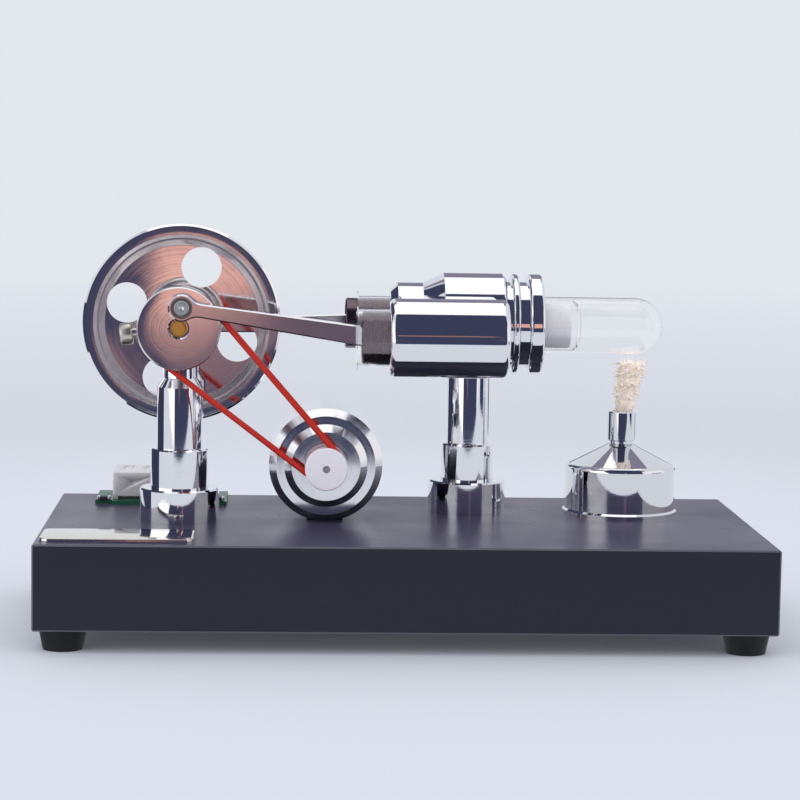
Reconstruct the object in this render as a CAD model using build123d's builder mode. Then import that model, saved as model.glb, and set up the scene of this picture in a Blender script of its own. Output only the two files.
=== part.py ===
from build123d import *

import os
from math import acos, atan2, cos, hypot, radians, sin, sqrt

# A bench model of a hot-air (Stirling) engine, in millimetres, +Z up, seen from the front along +Y.
# The origin is on the bench, under the middle of the base. The crankshaft and the generator lie
# along Y, the two cylinders along X, and the posts and the spirit burner stand along Z.

# ---- Clearances ----------------------------------------------------------------------------------
running_gap = 0.05        # radial, a shaft or pin in its bearing
piston_gap = 0.08         # radial, a piston in its glass
side_gap = 0.4            # between faces that turn past each other
belt_gap = 0.2            # all round the belt in its grooves
screw_gap = 0.2           # radial, a screw in a plain hole
end_room = 1.0            # left at the end of a stroke
displacer_gap = 0.35      # radial, the displacer in the hot tube
match = 0.3               # how closely an edge or corner is looked for by its place
pin_end_gap = 0.3         # between a crank pin's end and the face it stands off

# ---- Base, feet and fixings ----------------------------------------------------------------------
base_length = 178.0
base_depth = 88.0
base_height = 20.8
base_chamfer = 0.4
foot_height = 5.2
foot_top_radius = 5.85
foot_bottom_radius = 4.85
foot_inset = 6.9          # foot centre from the base's sides
foot_recess_radius = 2.8
foot_recess_depth = 2.6
foot_screw_radius = 1.25
foot_screw_head_radius = 2.3
foot_screw_head = 1.5
foot_screw_grip = 7.0     # thread in the base
post_screw_radius = 2.0
post_screw_head_radius = 3.5
post_screw_head = 4.0
post_screw_grip = 9.0     # thread in the post
counterbore_depth = 6.0
motor_screw_radius = 1.5
motor_screw_head_radius = 2.75
motor_screw_head = 3.0
hex_key_share = 0.55      # key size across corners, as a share of the head
deck = foot_height + base_height

plate_length = 36.6
plate_depth = 16.5
plate_thickness = 0.8
plate_corner = 2.5
plate_inset_x = 1.2       # from the base's left side
plate_inset_y = 4.3       # from the base's front side

# ---- Crankshaft and crank post -------------------------------------------------------------------
shaft_x = -56.0
shaft_height = 49.1       # above the deck
shaft_radius = 2.0
crank_throw = 5.4
power_pin_angle = 81.0
displacer_pin_angle = 196.0
crank_post_y = -1.7
crank_flange_radius = 10.0
crank_flange_height = 8.3
crank_collar_radius = 7.3
crank_collar_height = 9.9
crank_column_radius = 5.75
neck_radius = 4.3
neck_length = 13.2        # from the shoulder's top to the shaft
shoulder_height = 2.3
post_chamfer = 0.4
bearing_head_radius = 6.2
bearing_head_length = 10.0
bearing_radius = 4.0
bearing_width = 3.0
bearing_seat_radius = 3.0

# ---- Crank disc, belt and generator --------------------------------------------------------------
disc_radius = 10.3
disc_lip = 0.9
disc_hub_length = 5.6
disc_chamfer = 0.35
bore_chamfer = 0.7
shaft_recess = 0.6        # shaft's end behind the disc's face
shaft_chamfer = 0.2
crank_screw_angle = 185.0
crank_screw_radius = 1.3
crank_screw_head_radius = 2.7
crank_screw_head = 3.05
crank_screw_neck = 1.3    # thread left bare under the head
belt_radius = 0.8
belt_wrap_radius = 9.6    # belt's centre line round the crank disc
pulley_wrap_radius = 4.3  # and round the generator's pulley
pulley_radius = 5.3
pulley_flange = 0.8
pulley_hub_radius = 2.6
pulley_hub_length = 1.2
pulley_chamfer = 0.25
belt_reach = 36.7         # generator axis from the crankshaft, along X
motor_shaft_radius = 0.95
motor_shaft_recess = 0.8
motor_shaft_length = 16.0
motor_bush_radius = 2.5
motor_bush_proud = 0.6
drum_radius = 14.2
drum_flat = 0.15          # milled off where it stands on its pad
pad_thickness = 0.7
pad_width = 9.0
pad_length = 12.0
drum_length = 22.1
drum_bevel = 1.8
nose_height = 1.8
nose_face_radius = 8.6
nose_foot_radius = 10.4
drum_face_radius = 12.4
motor_radius = 12.6
motor_length = 19.0
rear_cover_thickness = 2.5
terminal_width = 2.4
terminal_thickness = 0.5
terminal_length = 3.0
terminal_spread = 12.0

# ---- Flywheel ------------------------------------------------------------------------------------
flywheel_radius = 25.0
flywheel_width = 9.0
flywheel_setback = 2.3    # rim's front behind the hub's
hub_radius = 8.6
hub_length = 11.9
rim_inner_radius = 22.3
rim_step_radius = 21.0
rim_step_depth = 1.0
web_radius = 19.6
web_setback = 2.6         # web's front behind the rim's
web_thickness = 3.4
web_hole_radius = 5.1
web_hole_circle = 14.8
web_hole_angle = 71.0
web_hole_count = 4
rim_chamfer = 0.5
hub_screw_radius = 1.25
hub_screw_angle = 116.0

# ---- Connecting rods -----------------------------------------------------------------------------
power_rod_length = 47.7
rod_thickness = 3.0
rod_big_radius = 3.35
rod_small_radius = 3.0
rod_neck_height = 3.2
rod_root_height = 5.0
rod_neck_fillet = 4.0
rod_chamfer = 0.35
rod_bearing_radius = 2.65
rod_bearing_recess = 0.25
crank_pin_radius = 1.25
crank_pin_head_radius = 1.8
crank_pin_head = 0.5
gudgeon_radius = 1.0

# ---- Cylinders and pistons -----------------------------------------------------------------------
power_height = 47.7       # axes above the deck
displacer_height = 48.8
piston_radius = 6.5
piston_length = 15.0
piston_wall = 1.2
skirt_depth = 8.5
gudgeon_inset = 3.1       # from the piston's open end
piston_chamfer = 0.3
glass_wall = 0.45
glass_lip = 0.3
power_lip_height = 0.8
guide_lip_height = 1.2
power_mouth = 7.95        # glass standing out of the block
displacer_mouth = 8.6
block_reach = 3.85         # block's left face beyond the power rod's length
power_barrel_radius = 9.7
power_barrel_length = 29.3
power_barrel_round = 1.6
barrel_chamfer = 1.8
cold_barrel_offset = 1.7
cold_barrel_radius = 10.65
cold_barrel_length = 8.3
barrel_cone_length = 5.3
hot_barrel_radius = 13.3
hot_barrel_length = 16.1
hot_barrel_chamfer = 0.9
bridge_top = 8.9          # above the power cylinder's axis
bridge_bottom = -4.5
bridge_inset = 1.9
power_bore_wall = 5.0
port_radius = 1.5
port_room = 2.0
displacer_rod_radius = 1.0
rod_bush_radius = 2.5
rod_bush_length = 4.0
displacer_gudgeon_reach = 6.75  # gudgeon left of the block's face
displacer_length = 29.0
displacer_radius = 6.55
displacer_wall = 0.6
displacer_end_wall = 1.2
displacer_round = 2.5
displacer_plug = 3.0
displacer_core_gap = 1.3  # clear glass beyond the packing
hot_tube_wall = 0.5
hot_tube_reach = 31.7     # hot tube beyond the clamp nut
hot_tube_seat = 3.2       # tube's length inside the block
flange_neck_radius = 11.15
flange_ring_radius = 13.2
flange_neck = 1.35
flange_ring = 1.9
flange_gap = 2.4
flange_round = 0.7
nut_thickness = 3.85
nut_round = 0.9
seal_radius = 8.4
seal_width = 2.0
cylinder_post_reach = 22.3
cylinder_flange_radius = 10.15
cylinder_flange_height = 8.5
cylinder_collar_radius = 6.85
cylinder_collar_height = 9.5
cylinder_column_radius = 5.6
post_socket = 2.0         # column's end inside the block

# ---- Spirit burner -------------------------------------------------------------------------------
burner_setback = 10.1     # burner's axis from the hot tube's end
burner_radius = 14.4
burner_wall = 0.8
burner_wall_height = 12.8
burner_rim = 0.5
burner_rim_height = 0.9
burner_lid_rim = 1.0       # lid's upright edge on the tank's wall
burner_shoulder = 1.4      # rounding between that edge and the cone
burner_cone_top = 18.3
burner_neck_radius = 3.0
burner_neck_height = 4.3
wick_holder_radius = 3.7
wick_holder_height = 7.7
wick_holder_start = 0.7   # above the cone
wick_holder_chamfer = 0.3
wick_radius = 2.3
wick_top_radius = 3.1
wick_bottom = 3.0
wick_height = 13.6        # wick standing out of its holder
wick_lean = 1.6

# ---- Circuit board and USB socket ----------------------------------------------------------------
board_length = 34.4
board_depth = 20.0
board_thickness = 1.0
board_left = 10.0         # from the base's left side
board_notch = 1.5          # cut back in front, left of the socket
board_back = 0.5          # from the base's rear side
usb_width = 13.2
usb_length = 17.0
usb_height = 6.4
usb_wall = 0.35
usb_leg = 0.7
usb_leg_width = 1.2
usb_left = 4.5            # from the board's left end
usb_block = 3.0
tongue_width = 11.1
tongue_thickness = 1.9
tongue_length = 8.6
tongue_rise = 0.9         # tongue above the socket's middle
contact_pitch = 2.3
contact_width = 1.1
contact_thickness = 0.25
chip_length = 3.4
chip_depth = 2.4
chip_height = 1.0
chip_inset = 0.6          # from the board's edges
chip_row = 5.0            # third chip, in from the board's right end

# ---- Places worked out from the sizes above ------------------------------------------------------
shaft_z = deck + shaft_height
power_z = deck + power_height
displacer_z = deck + displacer_height

groove_width = 2 * (belt_radius + belt_gap)
disc_width = disc_lip + groove_width + disc_hub_length
disc_rear = crank_post_y - bearing_head_length / 2 - side_gap
disc_front = disc_rear - disc_width
belt_y = disc_front + disc_lip + groove_width / 2
hub_front = crank_post_y + bearing_head_length / 2 + side_gap
hub_rear = hub_front + hub_length
rim_front = hub_front + flywheel_setback
rim_rear = rim_front + flywheel_width
web_front = rim_front + web_setback
web_rear = web_front + web_thickness

power_y = disc_front - side_gap - rod_thickness / 2
displacer_y = hub_rear + side_gap + rod_thickness / 2


def crank_pin_place(angle):
    """X and Z of a crank pin that stands at this angle, counted up from +X."""
    return (shaft_x + crank_throw * cos(radians(angle)), shaft_z + crank_throw * sin(radians(angle)))


power_pin_x, power_pin_z = crank_pin_place(power_pin_angle)
displacer_pin_x, displacer_pin_z = crank_pin_place(displacer_pin_angle)
power_gudgeon_x = power_pin_x + sqrt(power_rod_length**2 - (power_pin_z - power_z) ** 2)
block_x = shaft_x + power_rod_length + block_reach
displacer_gudgeon_x = block_x - displacer_gudgeon_reach
displacer_rod_length = hypot(displacer_gudgeon_x - displacer_pin_x, displacer_pin_z - displacer_z)

stroke = 2 * crank_throw
glass_inner = piston_radius + piston_gap
glass_outer = glass_inner + glass_wall
power_piston_x = power_gudgeon_x - gudgeon_inset
guide_piston_x = displacer_gudgeon_x - gudgeon_inset
power_glass_end = power_piston_x + piston_length + stroke + end_room
guide_glass_end = guide_piston_x + piston_length + stroke + end_room
cold_barrel_x = block_x + cold_barrel_offset
cone_x = cold_barrel_x + cold_barrel_length
hot_barrel_x = cone_x + barrel_cone_length
block_end = hot_barrel_x + hot_barrel_length
chamber_x = guide_glass_end + rod_bush_length
port_x = chamber_x + port_room
power_bore_end = max(port_x + port_radius + end_room, power_glass_end + end_room)

displacer_x = chamber_x + end_room
hot_tube_inner = displacer_radius + displacer_gap
hot_tube_outer = hot_tube_inner + hot_tube_wall
hot_tube_x = block_end - hot_tube_seat
ring_x = block_end + flange_neck
nut_x = ring_x + flange_ring + flange_gap
nut_end = nut_x + nut_thickness
hot_tube_end = nut_end + hot_tube_reach

cylinder_post_x = block_x + cylinder_post_reach
generator_x = shaft_x + belt_reach
generator_z = deck + pad_thickness + drum_radius - drum_flat
pulley_front = belt_y - groove_width / 2 - pulley_flange
pulley_rear = belt_y + groove_width / 2 + pulley_flange + pulley_hub_length
nose_front = pulley_rear + side_gap + motor_bush_proud
drum_face = nose_front + nose_height
drum_side = drum_face + drum_bevel
drum_rear = drum_side + drum_length
motor_rear = drum_rear - rear_cover_thickness
motor_front = motor_rear - motor_length

burner_x = hot_tube_end - burner_setback
burner_y = displacer_y
burner_neck_top = burner_cone_top + burner_neck_height
wick_holder_top = deck + burner_cone_top + wick_holder_start + wick_holder_height

board_x = -base_length / 2 + board_left
board_y = base_depth / 2 - board_back - board_depth
board_z = deck + board_thickness
usb_x = board_x + usb_left + usb_width / 2
usb_y = base_depth / 2 - board_back - usb_length
usb_z = board_z + usb_leg

shaft_axis = Axis((shaft_x, 0, shaft_z), (0, 1, 0))
generator_axis = Axis((generator_x, 0, generator_z), (0, 1, 0))
pieces = {}


# ---- Helpers -------------------------------------------------------------------------------------
def facing(x, y, z):
    """A plane that faces the front: its x is +X, its y is +Z, and it extrudes towards -Y."""
    return Plane(origin=(x, y, z), x_dir=(1, 0, 0), z_dir=(0, -1, 0))


def section(plane, *points):
    """A closed straight-sided face on a plane."""
    with BuildSketch(plane) as outline:
        with BuildLine():
            Polyline(*points, close=True)
        make_face()
    return outline.sketch


def turned_along_x(y, z, *points):
    """A turned solid about a line along X, from (x, radius) points."""
    with BuildPart() as piece:
        revolve(section(facing(0, y, z), *points), axis=Axis((0, y, z), (1, 0, 0)))
    return piece.part


def turned_along_y(x, z, *points):
    """A turned solid about a line along Y, from (radius, y) points."""
    with BuildPart() as piece:
        revolve(section(Plane((x, 0, z)), *points), axis=Axis((x, 0, z), (0, 1, 0)))
    return piece.part


def turned_along_z(x, y, *points):
    """A turned solid about an upright line, from (radius, z) points."""
    with BuildPart() as piece:
        revolve(section(facing(x, y, 0), *points), axis=Axis((x, y, 0), (0, 0, 1)))
    return piece.part


def ring_along_x(y, z, inner, outer, x0, x1):
    """A turned ring about a line along X."""
    return turned_along_x(y, z, (x0, inner), (x0, outer), (x1, outer), (x1, inner))


def outer_rims(piece, radius):
    """The circular edges of a turned piece that lie at one radius."""
    circles = piece.edges().filter_by(GeomType.CIRCLE)
    return circles.filter_by(lambda rim: abs(rim.radius - radius) < match)


def rod_along_y(x, z, radius, y0, y1):
    """A round bar along Y."""
    return turned_along_y(x, z, (0, y0), (radius, y0), (radius, y1), (0, y1))


def cap_screw(radius, length, head_radius, head_height):
    """A socket-head screw whose head's underside is at the origin and whose thread points up."""
    with BuildPart() as screw:
        with BuildSketch():
            Circle(radius)
        extrude(amount=length)
        with BuildSketch():
            Circle(head_radius)
        extrude(amount=-head_height)
        with BuildSketch(Plane.XY.offset(-head_height)):
            RegularPolygon(head_radius * hex_key_share, 6)
        extrude(amount=head_height / 2, mode=Mode.SUBTRACT)
    return screw.part


# ---- Base, feet and nameplate --------------------------------------------------------------------
foot_places = [(sx * (base_length / 2 - foot_inset), sy * (base_depth / 2 - foot_inset))
               for sx in (-1, 1) for sy in (-1, 1)]
post_places = [(shaft_x, crank_post_y), (cylinder_post_x, displacer_y)]
generator_middle_y = (drum_side + drum_rear) / 2
screw_seat = foot_height + counterbore_depth

with BuildPart() as base:
    with BuildSketch(Plane.XY.offset(foot_height)):
        Rectangle(base_length, base_depth)
    extrude(amount=base_height)
    chamfer(base.edges(), base_chamfer)
    with BuildSketch(Plane.XY.offset(foot_height)):
        with Locations(*post_places):
            Circle(post_screw_head_radius + screw_gap)
        with Locations((generator_x, generator_middle_y)):
            Circle(motor_screw_head_radius + screw_gap)
    extrude(amount=counterbore_depth, mode=Mode.SUBTRACT)
    with BuildSketch(Plane.XY.offset(foot_height)):
        with Locations(*post_places):
            Circle(post_screw_radius + screw_gap)
        with Locations((generator_x, generator_middle_y)):
            Circle(motor_screw_radius + screw_gap)
    extrude(amount=base_height, mode=Mode.SUBTRACT)
    with BuildSketch(Plane.XY.offset(foot_height)):
        with Locations(*foot_places):
            Circle(foot_screw_radius)
    extrude(amount=foot_screw_grip, mode=Mode.SUBTRACT)
pieces["base"] = base

with BuildPart() as rubber_feet:
    for x, y in foot_places:
        add(turned_along_z(
            x, y, (foot_screw_radius, foot_height), (foot_top_radius, foot_height),
            (foot_bottom_radius, 0), (foot_recess_radius, 0),
            (foot_recess_radius, foot_recess_depth), (foot_screw_radius, foot_recess_depth)))
pieces["rubber_feet"] = rubber_feet

with BuildPart() as foot_screws:
    for x, y in foot_places:
        length = foot_height - foot_recess_depth + foot_screw_grip
        screw = cap_screw(foot_screw_radius, length, foot_screw_head_radius, foot_screw_head)
        add(screw.moved(Location((x, y, foot_recess_depth))))
pieces["foot_screws"] = foot_screws

with BuildPart() as post_screws:
    for x, y in post_places:
        length = base_height - counterbore_depth + post_screw_grip
        screw = cap_screw(post_screw_radius, length, post_screw_head_radius, post_screw_head)
        add(screw.moved(Location((x, y, screw_seat))))
pieces["post_screws"] = post_screws

with BuildPart() as generator_screw:
    length = base_height - counterbore_depth + pad_thickness + drum_radius - drum_flat - motor_radius
    screw = cap_screw(motor_screw_radius, length, motor_screw_head_radius, motor_screw_head)
    add(screw.moved(Location((generator_x, generator_middle_y, screw_seat))))
pieces["generator_screw"] = generator_screw

with BuildPart() as nameplate:
    plate_x = -base_length / 2 + plate_inset_x + plate_length / 2
    plate_y = -base_depth / 2 + plate_inset_y + plate_depth / 2
    with BuildSketch(Plane((plate_x, plate_y, deck))):
        RectangleRounded(plate_length, plate_depth, plate_corner)
    extrude(amount=plate_thickness)
    chamfer(nameplate.faces().sort_by(Axis.Z)[-1].edges(), plate_thickness / 4)
pieces["nameplate"] = nameplate


# ---- The two posts -------------------------------------------------------------------------------
def post_steps(flange_radius, flange_height, collar_radius, collar_height, column_radius):
    """The stepped lower end of a post, as (radius, z) points up to the foot of its column."""
    c = post_chamfer
    flange_top = deck + flange_height
    collar_top = flange_top + collar_height
    return [(0, deck), (flange_radius, deck), (flange_radius, flange_top - c),
            (flange_radius - c, flange_top), (collar_radius, flange_top),
            (collar_radius, collar_top - c), (collar_radius - c, collar_top),
            (column_radius, collar_top)]


with BuildPart() as crank_post:
    column_top = shaft_z - neck_length - shoulder_height
    add(turned_along_z(
        shaft_x, crank_post_y,
        *post_steps(crank_flange_radius, crank_flange_height, crank_collar_radius,
                    crank_collar_height, crank_column_radius),
        (crank_column_radius, column_top), (neck_radius, column_top + shoulder_height),
        (neck_radius, shaft_z), (0, shaft_z)))
    with BuildSketch(facing(shaft_x, crank_post_y + bearing_head_length / 2, shaft_z)):
        Circle(bearing_head_radius)
    extrude(amount=bearing_head_length)
    chamfer(crank_post.edges().filter_by(GeomType.CIRCLE).filter_by(
        lambda edge: abs(edge.radius - bearing_head_radius) < 1e-6), post_chamfer)
    for end in (-1, 1):
        with BuildSketch(facing(shaft_x, crank_post_y + end * bearing_head_length / 2, shaft_z)):
            Circle(bearing_radius)
        extrude(amount=end * bearing_width, mode=Mode.SUBTRACT)
    with BuildSketch(facing(shaft_x, crank_post_y + bearing_head_length / 2, shaft_z)):
        Circle(bearing_seat_radius)
    extrude(amount=bearing_head_length, mode=Mode.SUBTRACT)
    with BuildSketch(Plane((shaft_x, crank_post_y, deck))):
        Circle(post_screw_radius)
    extrude(amount=post_screw_grip, mode=Mode.SUBTRACT)
pieces["crank_post"] = crank_post

for name, end in (("front_shaft_bearing", -1), ("rear_shaft_bearing", 1)):
    with BuildPart() as bearing:
        outer_face = crank_post_y + end * bearing_head_length / 2
        with BuildSketch(facing(shaft_x, outer_face, shaft_z)):
            Circle(bearing_radius)
            Circle(shaft_radius + running_gap, mode=Mode.SUBTRACT)
        extrude(amount=end * bearing_width)
    pieces[name] = bearing

with BuildPart() as cylinder_post:
    column_top = displacer_z - hot_barrel_radius + post_socket
    add(turned_along_z(
        cylinder_post_x, displacer_y,
        *post_steps(cylinder_flange_radius, cylinder_flange_height, cylinder_collar_radius,
                    cylinder_collar_height, cylinder_column_radius),
        (cylinder_column_radius, column_top), (0, column_top)))
    with BuildSketch(Plane((cylinder_post_x, displacer_y, deck))):
        Circle(post_screw_radius)
    extrude(amount=post_screw_grip, mode=Mode.SUBTRACT)
pieces["cylinder_post"] = cylinder_post


# ---- Crankshaft ----------------------------------------------------------------------------------
with BuildPart() as crank_shaft:
    add(rod_along_y(shaft_x, shaft_z, shaft_radius, disc_front + shaft_recess, hub_rear))
    chamfer(crank_shaft.edges().filter_by(GeomType.CIRCLE), shaft_chamfer)
pieces["crank_shaft"] = crank_shaft


def cut_belt_groove(x, z, wrap_radius):
    """The round-bottomed belt groove, as a solid to take away."""
    with BuildPart() as groove:
        with BuildSketch(Plane((x, 0, z))):
            with Locations((wrap_radius, belt_y)):
                Circle(groove_width / 2)
                Rectangle(disc_radius, groove_width, align=(Align.MIN, Align.CENTER))
        revolve(axis=Axis((x, 0, z), (0, 1, 0)))
    return groove.part


def radial_plane(angle, radius, y):
    """A plane on the crankshaft's axis, looking outwards at this angle."""
    outwards = (cos(radians(angle)), 0, sin(radians(angle)))
    place = (shaft_x + radius * outwards[0], y, shaft_z + radius * outwards[2])
    return Plane(origin=place, x_dir=(0, 1, 0), z_dir=outwards)


crank_screw_y = disc_rear - disc_hub_length / 2
with BuildPart() as crank_disc:
    c = disc_chamfer
    add(turned_along_y(
        shaft_x, shaft_z, (shaft_radius + bore_chamfer, disc_front), (disc_radius - c, disc_front),
        (disc_radius, disc_front + c), (disc_radius, disc_rear - c), (disc_radius - c, disc_rear),
        (shaft_radius, disc_rear), (shaft_radius, disc_front + bore_chamfer)))
    add(cut_belt_groove(shaft_x, shaft_z, belt_wrap_radius), mode=Mode.SUBTRACT)
    with BuildSketch(radial_plane(crank_screw_angle, 0, crank_screw_y)):
        Circle(crank_screw_radius)
    extrude(amount=disc_radius, mode=Mode.SUBTRACT)
pieces["crank_disc"] = crank_disc

with BuildPart() as crank_set_screw:
    head_seat = disc_radius + crank_screw_neck
    screw = cap_screw(crank_screw_radius, head_seat - shaft_radius, crank_screw_head_radius,
                      crank_screw_head)
    screw_plane = radial_plane(crank_screw_angle, head_seat, crank_screw_y)
    inwards = Plane(origin=screw_plane.origin, x_dir=(0, 1, 0), z_dir=-screw_plane.z_dir)
    add(screw.moved(inwards.location))
pieces["crank_set_screw"] = crank_set_screw

hub_screw_y = (hub_front + web_front) / 2
with BuildPart() as flywheel:
    c = rim_chamfer
    add(turned_along_y(
        shaft_x, shaft_z, (shaft_radius, hub_front), (hub_radius - c, hub_front),
        (hub_radius, hub_front + c), (hub_radius, web_front), (web_radius, web_front),
        (rim_step_radius, rim_front + rim_step_depth), (rim_step_radius + c, rim_front + rim_step_depth),
        (rim_inner_radius, rim_front), (flywheel_radius - c, rim_front),
        (flywheel_radius, rim_front + c), (flywheel_radius, rim_rear - c),
        (flywheel_radius - c, rim_rear), (rim_inner_radius, rim_rear),
        (web_radius, web_rear), (hub_radius, web_rear), (hub_radius, hub_rear - c),
        (hub_radius - c, hub_rear), (shaft_radius, hub_rear)))
    with BuildSketch(facing(shaft_x, rim_rear, shaft_z)):
        with PolarLocations(web_hole_circle, web_hole_count, start_angle=web_hole_angle):
            Circle(web_hole_radius)
    extrude(amount=flywheel_width, mode=Mode.SUBTRACT)
    with BuildSketch(radial_plane(hub_screw_angle, 0, hub_screw_y)):
        Circle(hub_screw_radius)
    extrude(amount=hub_radius, mode=Mode.SUBTRACT)
pieces["flywheel"] = flywheel

with BuildPart() as flywheel_set_screw:
    with BuildSketch(radial_plane(hub_screw_angle, shaft_radius, hub_screw_y)):
        Circle(hub_screw_radius)
    extrude(amount=hub_radius - shaft_radius - rim_chamfer)
    with BuildSketch(radial_plane(hub_screw_angle, hub_radius - rim_chamfer, hub_screw_y)):
        RegularPolygon(hub_screw_radius * hex_key_share, 6)
    extrude(amount=-hub_screw_radius, mode=Mode.SUBTRACT)
pieces["flywheel_set_screw"] = flywheel_set_screw


# ---- Generator, its pulley and the belt ----------------------------------------------------------
pad_top = deck + pad_thickness
with BuildPart() as generator_pad:
    with BuildSketch(Plane((generator_x, generator_middle_y, deck))):
        Rectangle(pad_width, pad_length)
        Circle(motor_screw_radius + screw_gap, mode=Mode.SUBTRACT)
    extrude(amount=pad_thickness)
pieces["generator_pad"] = generator_pad

with BuildPart() as generator_housing:
    add(turned_along_y(
        generator_x, generator_z, (motor_bush_radius, nose_front), (nose_face_radius, nose_front),
        (nose_foot_radius, drum_face), (drum_face_radius, drum_face), (drum_radius, drum_side),
        (drum_radius, drum_rear - post_chamfer), (drum_radius - post_chamfer, drum_rear),
        (motor_radius, drum_rear), (motor_radius, motor_front), (motor_bush_radius, motor_front)))
    with BuildSketch(Plane((generator_x, generator_middle_y, pad_top))):
        Rectangle(2 * drum_radius, 2 * drum_radius + drum_length)
    extrude(amount=-drum_radius, mode=Mode.SUBTRACT)
    with BuildSketch(Plane((generator_x, generator_middle_y, pad_top))):
        Circle(motor_screw_radius)
    extrude(amount=drum_radius - motor_radius, mode=Mode.SUBTRACT)
pieces["generator_housing"] = generator_housing

shaft_start = pulley_front + motor_shaft_recess
shaft_end = shaft_start + motor_shaft_length
with BuildPart() as generator_motor:
    add(rod_along_y(generator_x, generator_z, motor_radius, motor_front, motor_rear))
    with BuildSketch(facing(generator_x, motor_front, generator_z)):
        Circle(motor_shaft_radius + side_gap)
    extrude(amount=-(shaft_end + side_gap - motor_front), mode=Mode.SUBTRACT)
pieces["generator_motor"] = generator_motor

with BuildPart() as generator_rear_cover:
    add(rod_along_y(generator_x, generator_z, motor_radius, motor_rear, drum_rear))
    chamfer(generator_rear_cover.edges().filter_by(GeomType.CIRCLE).sort_by(Axis.Y)[-1], post_chamfer)
    with BuildSketch(facing(generator_x, motor_rear, generator_z)):
        with GridLocations(terminal_spread, 0, 2, 1):
            Rectangle(terminal_thickness, terminal_width)
    extrude(amount=-drum_length, mode=Mode.SUBTRACT)
pieces["generator_rear_cover"] = generator_rear_cover

with BuildPart() as generator_terminals:
    with BuildSketch(facing(generator_x, motor_rear, generator_z)):
        with GridLocations(terminal_spread, 0, 2, 1):
            Rectangle(terminal_thickness, terminal_width)
    extrude(amount=-(drum_rear - motor_rear + terminal_length))
    with BuildSketch(Plane((generator_x, drum_rear + terminal_length / 2, generator_z),
                           x_dir=(0, 1, 0), z_dir=(1, 0, 0))):
        Circle(terminal_width / 4)
    extrude(amount=terminal_spread, both=True, mode=Mode.SUBTRACT)
pieces["generator_terminals"] = generator_terminals

with BuildPart() as generator_bush:
    add(turned_along_y(
        generator_x, generator_z, (motor_shaft_radius + running_gap, nose_front - motor_bush_proud),
        (motor_bush_radius, nose_front - motor_bush_proud), (motor_bush_radius, motor_front),
        (motor_shaft_radius + running_gap, motor_front)))
pieces["generator_bush"] = generator_bush

with BuildPart() as generator_shaft:
    add(rod_along_y(generator_x, generator_z, motor_shaft_radius, shaft_start, shaft_end))
pieces["generator_shaft"] = generator_shaft

with BuildPart() as generator_pulley:
    c = pulley_chamfer
    flange_rear = pulley_rear - pulley_hub_length
    add(turned_along_y(
        generator_x, generator_z, (motor_shaft_radius, pulley_front), (pulley_radius - c, pulley_front),
        (pulley_radius, pulley_front + c), (pulley_radius, flange_rear - c),
        (pulley_radius - c, flange_rear), (pulley_hub_radius, flange_rear),
        (pulley_hub_radius, pulley_rear), (motor_shaft_radius, pulley_rear)))
    add(cut_belt_groove(generator_x, generator_z, pulley_wrap_radius), mode=Mode.SUBTRACT)
pieces["generator_pulley"] = generator_pulley

with BuildPart() as drive_belt:
    run = (generator_x - shaft_x, generator_z - shaft_z)
    heading = atan2(run[1], run[0])
    opening = acos((belt_wrap_radius - pulley_wrap_radius) / hypot(*run))

    def on_disc(angle):
        """The belt's centre line on the crank disc at this angle."""
        return (shaft_x + belt_wrap_radius * cos(angle), shaft_z + belt_wrap_radius * sin(angle))

    def on_pulley(angle):
        """The belt's centre line on the generator's pulley at this angle."""
        return (generator_x + pulley_wrap_radius * cos(angle),
                generator_z + pulley_wrap_radius * sin(angle))

    upper, lower = heading + opening, heading - opening
    with BuildLine(facing(0, belt_y, 0)) as belt_path:
        Line(on_disc(upper), on_pulley(upper))
        ThreePointArc(on_pulley(upper), on_pulley(heading), on_pulley(lower))
        Line(on_pulley(lower), on_disc(lower))
        ThreePointArc(on_disc(lower), on_disc(heading + radians(180)), on_disc(upper))
    with BuildSketch(Plane(belt_path.line @ 0, z_dir=belt_path.line % 0)):
        Circle(belt_radius)
    sweep()
pieces["drive_belt"] = drive_belt


# ---- Connecting rods and their pins --------------------------------------------------------------
def connecting_rod(pin, gudgeon, y):
    """A rod from its crank pin to its gudgeon pin, with a seat for its ring bearing."""
    length = hypot(gudgeon[0] - pin[0], gudgeon[1] - pin[1])
    along = (gudgeon[0] - pin[0], 0, gudgeon[1] - pin[1])
    plane = Plane(origin=(pin[0], y + rod_thickness / 2, pin[1]), x_dir=along, z_dir=(0, -1, 0))
    with BuildPart() as rod:
        with BuildSketch(plane) as outline:
            with BuildLine():
                Polyline((0, rod_neck_height / 2), (length, rod_root_height / 2),
                         (length, -rod_root_height / 2), (0, -rod_neck_height / 2), close=True)
            make_face()
            Circle(rod_big_radius)
            necks = outline.vertices().filter_by(
                lambda corner: abs(abs(corner.Y) - rod_neck_height / 2) < match
                and 0 < corner.X < 2 * rod_big_radius)
            fillet(necks, rod_neck_fillet)
            with Locations((length, 0)):
                Circle(rod_small_radius)
        extrude(amount=rod_thickness)
        chamfer(rod.faces().filter_by(Axis.Y).edges(), rod_chamfer)
        with BuildSketch(plane):
            Circle(rod_bearing_radius)
            with Locations((length, 0)):
                Circle(gudgeon_radius + running_gap)
        extrude(amount=rod_thickness, mode=Mode.SUBTRACT)
    return rod


def rod_bearing(pin, y):
    """The ring bearing pressed into a rod's big end."""
    half = rod_thickness / 2 - rod_bearing_recess
    return turned_along_y(pin[0], pin[1], (crank_pin_radius, y - half), (rod_bearing_radius, y - half),
                          (rod_bearing_radius, y + half), (crank_pin_radius, y + half))


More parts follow.
